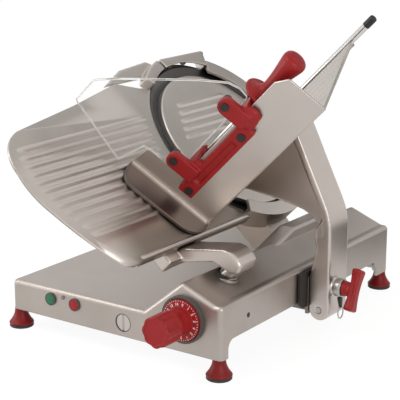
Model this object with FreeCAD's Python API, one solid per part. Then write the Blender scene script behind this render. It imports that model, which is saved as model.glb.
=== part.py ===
import FreeCAD, Part
import math
import os

# Gravity-feed slicer with a tilted blade. Millimetres, +Z up.
# X runs across the machine to the right of the control face, Y runs along the
# carriage stroke, away from the control face. The pieces are drawn from the
# centre of the base's footprint and saved from the centre of the whole
# machine's footprint, both on the table.

V = FreeCAD.Vector
X_AXIS = V(1, 0, 0)
Y_AXIS = V(0, 1, 0)
Z_AXIS = V(0, 0, 1)

# ---------------------------------------------------------------- driving sizes
# Centre of the whole machine's footprint, from the centre of the base
footprint_x = 40.0
footprint_y = -71.0

# Base casting
base_width = 458.0            # across X
base_right = 229.0            # the base's right side, which keeps its place by the blade
base_depth = 592.0            # along Y
base_wall = 5.0
skirt_bottom_z = 36.0         # height of the skirt's lower edge above the table
deck_z = 92.0                 # flat deck on the left, under the blade
shoulder_inset = 15.0         # the ridge's shoulder, from the right side
ridge_fall_width = 67.0       # from the shoulder up to the ridge
ridge_rise_width = 78.0       # from the ridge down to the deck
ridge_z = 156.0
shoulder_z = 129.5
base_edge_round = 8.0
hump_left = 21.0              # raised cover over the drive, from the ridge to each side
hump_right = 13.0
hump_rise = 16.0              # above the ridge
hump_front_inset = 221.0      # from the base's front and back
hump_back_inset = 53.0
hump_front_slope = 120.0
hump_back_slope = 22.0
hump_foot_drop = 20.0         # below the ridge, where its slopes start
hump_root = 10.0              # depth of its sides in the roof, and of the hollow through the roof
hollow_root = 18.0
hump_round = 7.0
window_front_inset = 20.0     # opening under the right-hand wall, for the carriage arm
window_back_inset = 46.0
window_top_z = 67.0
window_round = 16.0
boss_radius = 15.0
boss_height = 26.0

# Feet
foot_left_inset = 6.0
foot_right_inset = 14.0
foot_front_inset = 14.0
foot_back_inset = 6.0
foot_top_radius = 11.0
foot_waist_radius = 12.0
foot_flare_radius = 20.0
foot_flare_z = 14.0
pad_radius = 23.5
pad_height = 9.0
stud_radius = 4.0
stud_reach = 22.0

# Controls on the front face
start_inset = 92.0            # from the base's left side
stop_inset = 147.0
button_z = 72.0
button_radius = 9.5
bezel_radius = 11.5
bezel_height = 3.0
button_proud = 2.5
button_travel = 3.0
stem_radius = 5.0
stem_length = 18.0
switch_size = 20.0
switch_depth = 16.0
lamp_inset = 120.0
lamp_z = 80.0
lamp_radius = 4.0
lamp_height = 3.0
door_lock_x = 25.5
door_lock_z = 61.0
door_lock_radius = 15.5
door_lock_recess = 6.0
door_lock_sink = 1.0
door_lock_stem = 5.0
door_lock_thickness = 5.0
door_lock_slot = 3.0

# Thickness dial
dial_from_ridge = 7.0
dial_z = 95.0
dial_ring_radius = 41.0
dial_ring_depth = 7.0
dial_disc_radius = 36.0
dial_disc_length = 20.0
dial_neck_radius = 22.0
dial_grip_radius = 27.5
dial_grip_length = 42.0
dial_lobes = 8
dial_lobe_radius = 8.0
dial_front_reach = 80.0       # from the front face to the grip's end
dial_shaft_radius = 6.0
dial_bush_radius = 12.0
dial_bush_length = 12.0
dial_turn = 300.0             # degrees from closed to thickest slice
gauge_travel = 15.0           # how far the gauge plate backs away
cam_radius = 32.0
cam_thickness = 8.0
cam_start_radius = 11.0
cam_pin_radius = 3.0

# Blade plane: every piece by the blade is drawn in the slope frame, whose x runs
# down the slope, y is the row's Y, and z is the blade's axis.
blade_tilt = 45.0
gauge_plane = 205.0           # distance of the blade plane from the origin
blade_s = -234.0              # blade centre, down the slope from the origin
blade_y = 90.0
blade_radius = 175.0
blade_bevel = 25.0             # width of the ground rim
blade_dish_depth = 14.0
blade_thickness = 4.0
hub_radius = 55.0
shaft_radius = 14.0
shaft_bore_radius = 6.5
shaft_bottom_h = -92.0
tie_rod_radius = 5.0
rear_cap_h = -104.0
tie_knob_radius = 20.0
tie_knob_length = 16.0
cover_inset = 22.0
cover_back_h = -9.0
cover_front_h = 3.0
cover_rib_width = 7.0
cover_rib_height = 1.2

# Blade housing and ring guard
housing_overlap = 1.0
housing_front_h = -22.0
housing_hub_radius = 34.0
bearing_outer_radius = 24.0
bearing_width = 12.0
ring_clear = 4.0
ring_wall = 10.0
ring_front_h = 15.0
ring_lip = 7.0
ring_lip_overlap = 14.0
ring_start = 27.0             # degrees from the top of the slope, towards +Y
ring_end = 213.0
case_front_h = -28.0
case_back_h = -72.0
case_wall = 5.0
case_clear = 7.0

# Belt drive
blade_pulley_radius = 42.0
motor_pulley_radius = 14.0
pulley_back_h = -62.0
pulley_front_h = -42.0
belt_thickness = 3.0
belt_width = 14.0
belt_clear = 0.3
drive_from_ridge = 125.08
gearbox_half = 26.0
gearbox_back_h = -90.0
gearbox_front_h = -66.0
motor_radius = 34.0
motor_end_gap = 25.0
motor_from_ridge = 23.0
motor_z = 80.0
gland_inset = 79.0
gland_z = 66.0
gland_radius = 11.0
gland_bore_radius = 4.0

# Sharpener on top of the ring guard
sharp_start = -13.0
sharp_end = 27.0
sharp_clear = 2.0
sharp_rise = 19.0             # flat top, above the blade's edge
sharp_back_h = -12.0
sharp_wall = 4.0
stone_thickness = 6.0
stone_back_h = 3.0
stone_radii = [6.5, 6.5]
stone_reaches = [8.5, 9.0]
stone_angles = [-5.0, 9.0]
stone_pin_radius = 2.0
end_block_start = -36.5
end_block_end = -15.0
end_block_clear = 3.0
end_block_rise = 25.0
end_block_front_h = 15.0
wing_thickness = 8.0
wing_outline = [(-4.0, -217.0), (22.0, -152.0), (29.0, -66.0), (21.0, -54.0), (-4.0, -70.0)]

# Gauge plate
plate_thickness = 4.0
plate_top_y = -20.0           # where the top edge meets the blade
plate_top_corner = (-404.0, -100.0)
plate_edge_points = [(-379.0, -239.0), (-358.0, -390.0), (-283.0, -455.0), (-201.0, -442.0),
                     (-72.0, -372.0), (-66.0, -352.0)]
plate_arc_points = [(-333.0, -438.0), (-238.0, -454.0), (-138.0, -413.0)]
plate_near_end = -335.0
plate_low_inset = 9.0
rail_depth = 12.0
rail_width = 12.0
rail_end_inset = 5.0
plate_blade_gap = 3.0
upper_rail_s = -360.0
upper_rail_width = 10.0
upper_rail_depth = 8.0
upper_rail_start = -380.0
upper_rail_end = -60.0
gauge_rib_count = 12
gauge_rib_first_s = -321.0
gauge_rib_pitch = 16.3
gauge_rib_width = 8.0
gauge_rib_height = 1.5
gauge_rib_end_gap = 14.0
gauge_rib_start_y = -436.0
gauge_rib_turn_s = -190.0     # below this the near ends follow the plate's lower corner
post_from_ridge = 134.48
post_from_front = 98.0
post_radius = 14.0
post_bottom_n = 130.0
post_guide_radius = 21.0
post_guide_length = 34.0
seal_height = 6.0
post_top_n = 262.0
support_front_reach = 22.0
support_back_reach = 33.0
block_low_n = 161.0
block_front_reach = 57.0
block_width = 17.0
support_outline = [(93.0, 162.0), (106.0, 164.0), (159.0, 174.0), (196.0, 159.0), (207.0, 159.0),
                   (215.0, 177.0), (207.0, 188.0), (196.0, 196.0), (179.0, 199.0), (141.0, 194.0),
                   (119.0, 190.0), (80.0, 186.0), (64.0, 173.0)]
support_end_round = 6.0

# Tray: a V trough whose edge is parallel to the blade's axis. Its frame has x
# along the floor, y up the wall and z away from the blade.
vertex_s = -85.0
vertex_y = -130.0
tray_turn = 25.0
tray_gap = 3.0
floor_relief = 15.0           # floor edge set back to pass over the ring guard
tray_length = 328.0
wall_thickness = 4.0
wall_height = 90.0
strip_height = 174.0
strip_width = 49.0
wall_corner = 14.0
flange_width = 60.0
flange_thickness = 4.0
flange_low_round = 46.0
flange_high_round = 28.0
floor_thickness = 5.0
floor_width = 250.0
floor_rib_pitch = 17.0
floor_rib_width = 8.0
floor_rib_height = 1.2

# Red bracket, rod, handle and guard on the tray wall
bar_start = 30.0
bar_end_inset = 114.0          # from the tray's outer end
bar_low = 55.0
bar_thickness = 12.0
bar_high = 85.0
bar_groove = 2.0
cap_radius = 7.5
cap_height = 2.0
ear_width = 31.0
ear_low_start = 58.0
ear_high_inset = 122.0
ear_tip = 137.0
ear_front = -18.0
ear_back = -4.0
ear_hole_y = 124.0
boss_low_start = 62.0
boss_length = 38.0
boss_outer_radius = 12.0
rod_x = 40.0
rod_y = 84.7
rod_radius = 6.5
rod_start = 48.0
rod_grip_depth = 40.0
handle_from_end = 79.0
handle_disc_radius = 34.0
handle_disc_thickness = 7.0
handle_length = 98.0
grip_neck_radius = 12.0
grip_end_radius = 21.0
guard_thickness = 5.0
guard_lean = 16.0
guard_blade_side = [(56.0, -35.0), (56.0, 42.0), (30.0, 52.0), (4.0, 60.0), (70.0, 188.0), (124.0, 186.0)]
guard_far_side = [(186.0, 166.0), (148.0, 116.0), (98.0, 48.0), (74.0, 8.0), (72.0, -14.0), (79.0, -35.0)]
guard_bolt_radius = 3.0

# Product pusher on its guide rod along the floor's far edge
slide_rod_x = 262.0
slide_rod_y = 4.0
slide_rod_radius = 6.5
slide_rod_reach = 38.0
slide_cap_length = 22.0
lug_inset = 6.0
lug_length = 20.0
slider_start = 44.5
slider_length = 44.0
slider_radius = 12.0
pusher_arm_x0 = 120.0
pusher_plate_top = 48.0
pusher_post_top = 42.0
pusher_plate_width = 130.0
pusher_knob_radius = 10.0
pusher_plate_thickness = 4.0
spike_rows = 4
spike_columns = 7
spike_radius = 1.2
spike_length = 9.0

# Carriage under the right-hand wall, and the arm outside it
slide_inset = 24.0
slide_z = 88.0
slide_radius = 10.0
rod_block_length = 20.0
shoe_half_width = 15.0
shoe_front_y = -66.0
shoe_back_y = 74.0
bush_radius = 13.0
bush_length = 24.0
bush_clear = 0.05
guide_head_radius = 8.0
guide_head_height = 10.0
rail_thickness = 10.0
tongue_half_width = 20.0
tongue_y = 5.0
tongue_bottom_z = 42.0
tongue_top_z = 64.0
pivot_z = 53.0
pivot_radius = 5.0
pivot_clear = 0.05
arm_side_gap = 8.0            # between the base's right side and the arm
arm_foot_width = 40.0
arm_front_y = -30.0
arm_back_y = 38.0
arm_skin = 14.0
arm_bend_z = 198.0
arm_bend_radius = 110.0
arm_lean = 26.0
arm_top_length = 190.0
arm_inner_outline = [(-181.0, 300.0), (-147.0, 248.0), (-96.0, 241.0), (-47.0, 233.0), (-25.0, 227.0),
                     (-4.0, 217.0), (7.0, 205.0), (12.0, 190.0), (12.0, 166.0), (0.0, 112.0)]
slot_relief = 3.0             # clears the tongue when the arm is tilted
web_thickness = 10.0
web_setback = 16.0
saddle_thickness = 8.0
saddle_x0 = 80.0
saddle_x1 = 220.0
saddle_h0 = 60.0
saddle_h1 = 260.0
lock_y = -12.0
lock_z = 97.0
lock_boss_radius = 13.0
lock_boss_height = 6.0
lock_stud_radius = 5.0
lock_ring_radius = 15.5
lock_ring_height = 14.0
lock_hub_radius = 12.0
lock_hub_height = 14.0
lock_bar_length = 76.0
lock_bar_width = 24.0
lock_bar_thickness = 16.0
lock_bar_lean = 26.0

# Reach of cutting blocks that run past every piece
far = 900.0

# Running clearances
fit_gap = 0.3
loose_gap = 1.0

# ------------------------------------------------------------ derived places
blade_dish_radius = blade_radius - blade_bevel
cover_radius = blade_radius - cover_inset
housing_radius = blade_radius + housing_overlap
ring_outer_radius = blade_radius + ring_clear + ring_wall
ring_lip_radius = blade_radius - ring_lip_overlap
sharp_inner_radius = blade_radius + sharp_clear
sharp_top = blade_radius + sharp_rise
end_block_inner = blade_radius + end_block_clear
end_block_outer = blade_radius + end_block_rise
base_left = base_right - base_width
start_x = base_left + start_inset
stop_x = base_left + stop_inset
lamp_x = base_left + lamp_inset
gland_x = base_left + gland_inset
shoulder_x = base_right - shoulder_inset
ridge_x = shoulder_x - ridge_fall_width
flank_foot_x = ridge_x - ridge_rise_width
dial_x = ridge_x + dial_from_ridge
motor_x = ridge_x - motor_from_ridge
drive_s = (ridge_x - drive_from_ridge) / math.cos(math.radians(blade_tilt))
post_s = (ridge_x - post_from_ridge) / math.cos(math.radians(blade_tilt))
slide_x = base_right - slide_inset
arm_inner_x = base_right + arm_side_gap
arm_outer_x = arm_inner_x + arm_foot_width
pivot_x = arm_inner_x + arm_foot_width / 2.0
handle_start = tray_length - handle_from_end
bar_end = tray_length - bar_end_inset
ear_high_start = tray_length - ear_high_inset
boss_high_start = ear_high_start
slide_rod_end = tray_length + slide_rod_reach
half_depth = base_depth / 2.0
front_y = -half_depth
window_front_y = front_y + window_front_inset
window_back_y = half_depth - window_back_inset
post_y = front_y + post_from_front
support_front_y = post_y - support_front_reach
support_back_y = post_y + support_back_reach
block_front_y = post_y - block_front_reach
inner_front_y = front_y + base_wall
inner_back_y = half_depth - base_wall
inner_right_x = base_right - base_wall
motor_length = inner_back_y - blade_y - gearbox_half - motor_end_gap
plate_low_s = blade_s + blade_radius - plate_low_inset
block_s1 = plate_low_s + block_width
slope = FreeCAD.Placement(V(0, 0, 0), FreeCAD.Rotation(Y_AXIS, blade_tilt))
tray = slope.multiply(FreeCAD.Placement(V(vertex_s, vertex_y, gauge_plane),
                                        FreeCAD.Rotation(Z_AXIS, 90.0 + tray_turn)))
blade = slope.multiply(FreeCAD.Placement(V(blade_s, blade_y, gauge_plane), FreeCAD.Rotation()))


# ------------------------------------------------------------ small shape makers
def box(x0, x1, y0, y1, z0, z1):
    return Part.makeBox(x1 - x0, y1 - y0, z1 - z0, V(x0, y0, z0))


def rod(start, axis, radius, length):
    return Part.makeCylinder(radius, length, start, axis)


def prism(points, direction):
    return Part.Face(Part.makePolygon(points + points[:1])).extrude(direction)


def revolve(profile, axis_point=V(0, 0, 0), axis=Z_AXIS):
    return Part.Face(Part.makePolygon(profile + profile[:1])).revolve(axis_point, axis, 360)


def join(shapes):
    return shapes[0].multiFuse(shapes[1:]).removeSplitter() if len(shapes) > 1 else shapes[0]


def place(shape, placement):
    moved = shape.copy()
    moved.Placement = placement.multiply(moved.Placement)
    return moved


def save(name, shapes):
    solids = shapes if isinstance(shapes, list) else [shapes]
    solids = [solid for shape in solids for solid in shape.Solids]
    body = solids[0] if len(solids) == 1 else Part.makeCompound(solids)
    body = place(body, FreeCAD.Placement(V(-footprint_x, -footprint_y, 0), FreeCAD.Rotation()))
    body.exportStep("parts/" + name + ".step")


def round_edges(solid, radius, keep):
    edges = [edge for edge in solid.Edges if keep(edge)]
    return solid.makeFillet(radius, edges) if edges else solid


def sector(inner, outer, low, high, start, end):
    """Ring sector in the blade frame; angles are from the top of the slope towards +Y."""
    ring = Part.makeCylinder(outer, high - low, V(0, 0, low), Z_AXIS, end - start)
    ring.rotate(V(0, 0, 0), Z_AXIS, 180.0 - end)
    return ring.cut(rod(V(0, 0, low - 1), Z_AXIS, inner, high - low + 2))


def hull(x0, radius0, x1, radius1, low, high):
    """Prism round two circles on the x axis, as a belt lies round two pulleys."""
    lean = math.asin((radius0 - radius1) / (x1 - x0))
    side = [V(x0 + radius0 * math.sin(lean), radius0 * math.cos(lean), low),
            V(x1 + radius1 * math.sin(lean), radius1 * math.cos(lean), low)]
    other = [V(p.x, -p.y, low) for p in reversed(side)]
    arc0 = Part.Arc(other[1], V(x0 - radius0, 0, low), side[0]).toShape()
    arc1 = Part.Arc(side[1], V(x1 + radius1, 0, low), other[0]).toShape()
    lines = [Part.makeLine(side[0], side[1]), Part.makeLine(other[0], other[1])]
    wire = Part.Wire([arc0, lines[0], arc1, lines[1]])
    return Part.Face(wire).extrude(V(0, 0, high - low))


# ------------------------------------------------------------ base
def base_outline(inset):
    """Cross-section of the base in XZ, drawn inset from the outside by a wall."""
    rise = math.atan2(ridge_z - deck_z, ridge_x - flank_foot_x)
    fall = math.atan2(ridge_z - shoulder_z, shoulder_x - ridge_x)
    foot_shift = inset * math.tan(rise / 2.0)
    peak_low = inset / math.cos((rise + fall) / 2.0)
    peak_turn = (rise - fall) / 2.0
    shoulder_shift = inset * math.tan(fall / 2.0)
    right = base_right - inset
    left = base_left + inset
    return [V(left, 0, skirt_bottom_z), V(left, 0, deck_z - inset),
            V(flank_foot_x + foot_shift, 0, deck_z - inset),
            V(ridge_x + peak_low * math.sin(peak_turn), 0, ridge_z - peak_low * math.cos(peak_turn)),
            V(shoulder_x - shoulder_shift, 0, shoulder_z - inset),
            V(right, 0, shoulder_z - inset), V(right, 0, skirt_bottom_z)]


def base_solid(inset, extra_down=0.0):
    points = base_outline(inset)
    points[0] = points[0] - V(0, 0, extra_down)
    points[-1] = points[-1] - V(0, 0, extra_down)
    shifted = [p + V(0, front_y + inset, 0) for p in points]
    return prism(shifted, V(0, base_depth - 2 * inset, 0))


def foot_places():
    left = base_left + foot_left_inset
    right = base_right - foot_right_inset
    front = -half_depth + foot_front_inset
    back = half_depth - foot_back_inset
    return [(left, front), (right, front), (left, back), (right, back)]


def above_skirt(edge):
    return max(v.Point.z for v in edge.Vertexes) > skirt_bottom_z + 1.0


def front_hole(x, z, radius, depth=base_wall):
    return rod(V(x, front_y - 1, z), Y_AXIS, radius, depth + 2)


def drive_hump(inset, root):
    """Long rise over the drive, with sloping ends, drawn inset from the outside by a wall."""
    top_z = ridge_z + hump_rise - inset
    foot_z = ridge_z - hump_foot_drop - root
    start = front_y + hump_front_inset + inset
    end = half_depth - hump_back_inset - inset
    x0 = ridge_x - hump_left + inset
    points = [V(x0, start, foot_z), V(x0, start, ridge_z - hump_foot_drop),
              V(x0, start + hump_front_slope, top_z), V(x0, end - hump_back_slope, top_z),
              V(x0, end, ridge_z - hump_foot_drop), V(x0, end, foot_z)]
    return prism(points, V(hump_left + hump_right - 2 * inset, 0, 0))


def base_housing():
    outside = round_edges(base_solid(0.0), base_edge_round, above_skirt)
    hump = round_edges(drive_hump(0.0, hump_root), hump_round,
                       lambda e: e.BoundBox.ZMax > ridge_z + hump_rise - 0.1)
    outside = join([outside, hump])
    shell = outside.cut(join([base_solid(base_wall, 10.0), drive_hump(base_wall, hollow_root)]))
    bosses = [rod(V(x, y, skirt_bottom_z), Z_AXIS, boss_radius, boss_height) for x, y in foot_places()]
    shell = join([shell] + [boss.common(outside) for boss in bosses])
    window = box(base_right - base_wall - 1, base_right + 1, window_front_y, window_back_y,
                 skirt_bottom_z - 10, window_top_z)
    window = round_edges(window, window_round,
                         lambda e: abs(e.Vertexes[0].Point.z - window_top_z) < 0.1
                         and abs(e.Vertexes[0].Point.x - e.Vertexes[-1].Point.x) > 1.0)
    cuts = [window]
    cuts += [front_hole(start_x, button_z, stem_radius + fit_gap)]
    cuts += [front_hole(stop_x, button_z, stem_radius + fit_gap)]
    cuts += [front_hole(dial_x, dial_z, dial_bush_radius)]
    cuts += [place(rod(V(post_s, post_y, gauge_plane - 60), Z_AXIS, post_radius + loose_gap, 120), slope)]
    cuts += [belt_case_space()]
    cuts += [rod(V(gland_x, inner_back_y - 2, gland_z), Y_AXIS, gland_radius - 3, 20)]
    cuts += [rod(V(x, y, skirt_bottom_z - 1), Z_AXIS, stud_radius, stud_reach + 1)
             for x, y in foot_places()]
    cup = rod(V(door_lock_x, inner_front_y - 1, door_lock_z), Y_AXIS, door_lock_radius + 3.0,
              door_lock_recess + 1)
    well = rod(V(door_lock_x, front_y - 1, door_lock_z), Y_AXIS, door_lock_radius + fit_gap,
               2 + door_lock_sink + door_lock_thickness + fit_gap - 1)
    stem = rod(V(door_lock_x, front_y, door_lock_z), Y_AXIS, door_lock_stem + bush_clear, 30)
    shell = join([shell, cup]).cut(well).cut(stem)
    return shell.cut(Part.makeCompound(cuts))


def base_bottom_cover():
    plate = box(base_left + base_wall + fit_gap, slide_x - shoe_half_width - 12,
                inner_front_y + fit_gap, inner_back_y - fit_gap, skirt_bottom_z + 2, skirt_bottom_z + 4)
    gaps = [rod(V(x, y, skirt_bottom_z), Z_AXIS, boss_radius + fit_gap, 10) for x, y in foot_places()]
    return plate.cut(Part.makeCompound(gaps))


def feet():
    profile = [V(0, 0, pad_height), V(foot_flare_radius, 0, pad_height),
               V(foot_flare_radius, 0, foot_flare_z), V(foot_waist_radius, 0, foot_flare_z + 8),
               V(foot_top_radius, 0, skirt_bottom_z), V(0, 0, skirt_bottom_z)]
    bell = revolve(profile)
    hole = rod(V(0, 0, pad_height - 1), Z_AXIS, stud_radius, skirt_bottom_z)
    return [place(bell.cut(hole), FreeCAD.Placement(V(x, y, 0), FreeCAD.Rotation()))
            for x, y in foot_places()]


def foot_pads():
    profile = [V(0, 0, 0), V(pad_radius - 1.5, 0, 0), V(pad_radius, 0, 1.5),
               V(foot_flare_radius + 1, 0, pad_height), V(0, 0, pad_height)]
    return [place(revolve(profile), FreeCAD.Placement(V(x, y, 0), FreeCAD.Rotation()))
            for x, y in foot_places()]


def foot_studs():
    return [rod(V(x, y, pad_height), Z_AXIS, stud_radius, skirt_bottom_z - pad_height + stud_reach)
            for x, y in foot_places()]


# ------------------------------------------------------------ front controls
def button_bezels():
    rings = []
    for x in (start_x, stop_x):
        ring = rod(V(x, front_y - bezel_height, button_z), Y_AXIS, bezel_radius, bezel_height)
        hole = rod(V(x, front_y - bezel_height - 1, button_z), Y_AXIS, button_radius + fit_gap,
                   bezel_height + 2)
        rings.append(ring.cut(hole))
    return rings


def push_button(x):
    cap_end = front_y - button_travel - fit_gap
    cap = rod(V(x, cap_end - button_proud, button_z), Y_AXIS, button_radius, button_proud)
    stem = rod(V(x, cap_end, button_z), Y_AXIS, stem_radius, stem_length)
    return join([cap, stem])


def switch_blocks():
    start = front_y - fit_gap + stem_length - button_travel + fit_gap
    blocks = []
    for x in (start_x, stop_x):
        block = box(x - switch_size / 2, x + switch_size / 2, inner_front_y, start + switch_depth,
                    button_z - switch_size / 2, button_z + switch_size / 2 - 6)
        blocks.append(block.cut(rod(V(x, front_y, button_z), Y_AXIS, stem_radius + fit_gap,
                                    stem_length + fit_gap)))
    return blocks


def pilot_lamp():
    dome = Part.makeSphere(lamp_radius, V(lamp_x, front_y, lamp_z))
    return dome.common(box(lamp_x - 9, lamp_x + 9, front_y - lamp_height, front_y, lamp_z - 9, lamp_z + 9))


def door_lock():
    """Quarter-turn disc with a screwdriver slot, on a short spindle."""
    face = front_y + door_lock_sink
    disc = rod(V(door_lock_x, face, door_lock_z), Y_AXIS, door_lock_radius, door_lock_thickness)
    stem = rod(V(door_lock_x, face, door_lock_z), Y_AXIS, door_lock_stem, door_lock_thickness + 9)
    slot = box(door_lock_x - door_lock_slot / 2, door_lock_x + door_lock_slot / 2, face - 1,
               face + 1.5, door_lock_z - 20, door_lock_z + 20)
    return join([disc, stem]).cut(slot)


def dial_bezel():
    """Dark ring round the dial, in one piece with the shaft's bush through the wall."""
    ring = rod(V(dial_x, front_y - dial_ring_depth, dial_z), Y_AXIS, dial_ring_radius, dial_ring_depth)
    well = rod(V(dial_x, front_y - dial_ring_depth - 1, dial_z), Y_AXIS, dial_disc_radius + loose_gap,
               dial_ring_depth)
    bush = rod(V(dial_x, front_y - 1, dial_z), Y_AXIS, dial_bush_radius, dial_bush_length)
    bore = rod(V(dial_x, front_y - 2, dial_z), Y_AXIS, dial_shaft_radius + bush_clear, dial_bush_length + 2)
    return join([ring.cut(well), bush]).cut(bore)


def dial_scale_disc():
    start = front_y - 1 - fit_gap - 1 - dial_disc_length
    disc = rod(V(dial_x, start, dial_z), Y_AXIS, dial_disc_radius, dial_disc_length)
    return round_edges(disc, 2.0, lambda e: abs(e.BoundBox.YMin - start) < 0.1
                       and abs(e.BoundBox.YMax - start) < 0.1)


def dial_grip():
    start = front_y - dial_front_reach
    grip = rod(V(dial_x, start, dial_z), Y_AXIS, dial_grip_radius - 3, dial_grip_length)
    lobes = []
    for index in range(dial_lobes):
        angle = 2 * math.pi * index / dial_lobes
        reach = dial_grip_radius - dial_lobe_radius
        lobes.append(rod(V(dial_x + reach * math.cos(angle), start, dial_z + reach * math.sin(angle)),
                         Y_AXIS, dial_lobe_radius, dial_grip_length))
    disc_start = front_y - 1 - fit_gap - 1 - dial_disc_length
    neck = rod(V(dial_x, start + dial_grip_length, dial_z), Y_AXIS, dial_neck_radius,
               disc_start - start - dial_grip_length)
    return join([grip, neck] + lobes)


def cam_centre_n():
    return (dial_x * math.sin(math.radians(blade_tilt)) + dial_z * math.cos(math.radians(blade_tilt)))


def cam_centre_s():
    return (dial_x * math.cos(math.radians(blade_tilt)) - dial_z * math.sin(math.radians(blade_tilt)))


def cam_y():
    return front_y + base_wall + dial_bush_length + 4.0


def dial_cam():
    """Shaft with a disc whose spiral groove draws the gauge's pin along the slope axis."""
    start = front_y - 1 - fit_gap - 1
    shaft = rod(V(dial_x, start, dial_z), Y_AXIS, dial_shaft_radius, cam_y() + cam_thickness - start)
    disc = rod(V(dial_x, cam_y(), dial_z), Y_AXIS, cam_radius, cam_thickness)
    steps = 36
    margin = 22.0
    groove_half = cam_pin_radius + fit_gap
    tilt = math.radians(blade_tilt)
    base_angle = math.atan2(-math.cos(tilt), -math.sin(tilt))
    outer = []
    inner = []
    for index in range(steps + 1):
        turn = -margin + (dial_turn + 2 * margin) * index / steps
        radius = cam_start_radius + gauge_travel * turn / dial_turn
        angle = base_angle + math.radians(turn)
        for points, reach in ((outer, radius + groove_half), (inner, radius - groove_half)):
            points.append(V(dial_x + reach * math.cos(angle), cam_y() + 2, dial_z + reach * math.sin(angle)))
    curves = [Part.BSplineCurve(), Part.BSplineCurve()]
    curves[0].interpolate(outer)
    curves[1].interpolate(inner)
    wire = Part.Wire([curves[0].toShape(), Part.makeLine(outer[-1], inner[-1]),
                      curves[1].toShape(), Part.makeLine(inner[0], outer[0])])
    groove = Part.Face(wire).extrude(V(0, cam_thickness, 0))
    return join([shaft, disc.cut(groove)])


# ------------------------------------------------------------ blade group
def blade_knife():
    h0 = -blade_dish_depth
    profile = [V(shaft_radius + 8, 0, h0 - blade_thickness), V(blade_dish_radius, 0, h0 - blade_thickness),
               V(blade_radius, 0, -1.0), V(blade_radius, 0, 0), V(blade_dish_radius, 0, h0),
               V(shaft_radius + 8, 0, h0)]
    return place(revolve(profile), blade)


def blade_hub():
    """Hollow shaft with the blade's flange, and the driven pulley on it."""
    top = -blade_dish_depth
    under = top - blade_thickness
    profile = [V(shaft_bore_radius, 0, shaft_bottom_h), V(shaft_radius, 0, shaft_bottom_h),
               V(shaft_radius, 0, pulley_back_h), V(blade_pulley_radius, 0, pulley_back_h),
               V(blade_pulley_radius, 0, pulley_front_h), V(shaft_radius, 0, pulley_front_h),
               V(shaft_radius, 0, under - 2), V(hub_radius, 0, under - 2), V(hub_radius, 0, under),
               V(shaft_radius + 8, 0, under), V(shaft_radius + 8, 0, top + 1), V(shaft_bore_radius, 0, top + 1)]
    return place(revolve(profile), blade)


def blade_bearings():
    rings = []
    for low in (case_front_h - bearing_width, rear_cap_h + 20):
        ring = rod(V(0, 0, low), Z_AXIS, bearing_outer_radius, bearing_width)
        bore = rod(V(0, 0, low - 1), Z_AXIS, shaft_radius + bush_clear, bearing_width + 2)
        rings.append(place(ring.cut(bore), blade))
    return rings


def blade_cover():
    disc = rod(V(0, 0, cover_back_h), Z_AXIS, cover_radius, cover_front_h - cover_back_h)
    disc = round_edges(disc, 3.0, lambda e: abs(e.BoundBox.ZMin - cover_front_h) < 0.1)
    ribs = []
    first = (-92.0, -78.0, 84.0)
    last = (-24.0, -116.0, 30.0)
    count = 5
    for index in range(count):
        share = index / (count - 1.0)
        s, y0, y1 = [a + (b - a) * share for a, b in zip(first, last)]
        ribs.append(box(s - cover_rib_width / 2, s + cover_rib_width / 2, y0, y1,
                        cover_front_h - 0.5, cover_front_h + cover_rib_height))
    return place(join([disc] + ribs), blade)


def cover_tie_rod():
    """Holds the cover from behind through the hollow blade shaft; knob at the back."""
    stem = rod(V(0, 0, rear_cap_h - 2), Z_AXIS, tie_rod_radius, cover_back_h - rear_cap_h + 2)
    knob = rod(V(0, 0, rear_cap_h - tie_knob_length), Z_AXIS, tie_knob_radius, tie_knob_length)
    return place(join([stem, knob]), blade)


def belt_case_space():
    return place(column(case_clear, case_back_h, case_front_h), blade)


def column(gap, low, high):
    """Solid of the belt column at a distance from the pulleys, seen along the blade's axis."""
    return hull(0, blade_pulley_radius + gap, drive_s - blade_s, motor_pulley_radius + gap, low, high)


def blade_housing():
    """Casting behind the blade: back plate, front bearing seat and the hollow belt column."""
    plate = rod(V(0, 0, case_front_h), Z_AXIS, housing_radius, housing_front_h - case_front_h)
    outer = column(case_clear + case_wall, case_back_h - 3, housing_front_h)
    space = column(case_clear, case_back_h - 4, case_front_h)
    seat = rod(V(0, 0, case_front_h - bearing_width), Z_AXIS, bearing_outer_radius + 6, bearing_width)
    bore = rod(V(0, 0, case_front_h - bearing_width - 1), Z_AXIS, bearing_outer_radius, bearing_width + 1)
    hole = rod(V(0, 0, case_front_h - 1), Z_AXIS, shaft_radius + loose_gap, 20)
    casting = join([plate, outer.cut(space), seat]).cut(bore).cut(hole)
    return place(casting, blade).cut(base_solid(0.0))


def belt_cover():
    """Removable lid over the belt column, with the rear bearing's seat and its end cap."""
    lid = column(case_clear + case_wall, case_back_h - 3 - 4, case_back_h - 3)
    seat = rod(V(0, 0, rear_cap_h), Z_AXIS, housing_hub_radius, case_back_h - 3 - rear_cap_h)
    bore = rod(V(0, 0, rear_cap_h + 5), Z_AXIS, bearing_outer_radius, 60)
    hole = rod(V(0, 0, rear_cap_h - 1), Z_AXIS, tie_rod_radius, 60)
    return place(join([lid, seat]).cut(bore).cut(hole), blade).cut(base_solid(0.0))


def ring_guard():
    """Wall round the part of the blade that doesn't cut, with a wide lip over the edge."""
    wall = sector(ring_outer_radius - ring_wall, ring_outer_radius, housing_front_h, ring_front_h,
                  ring_start, ring_end)
    lip = sector(ring_lip_radius, ring_outer_radius, ring_front_h - ring_lip, ring_front_h,
                 ring_start, ring_end)
    root = sector(housing_radius, ring_outer_radius, case_front_h, housing_front_h, ring_start, ring_end)
    root = root.cut(column(case_clear + case_wall, case_back_h, housing_front_h))
    return place(join([wall, lip, root]), blade)


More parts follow.
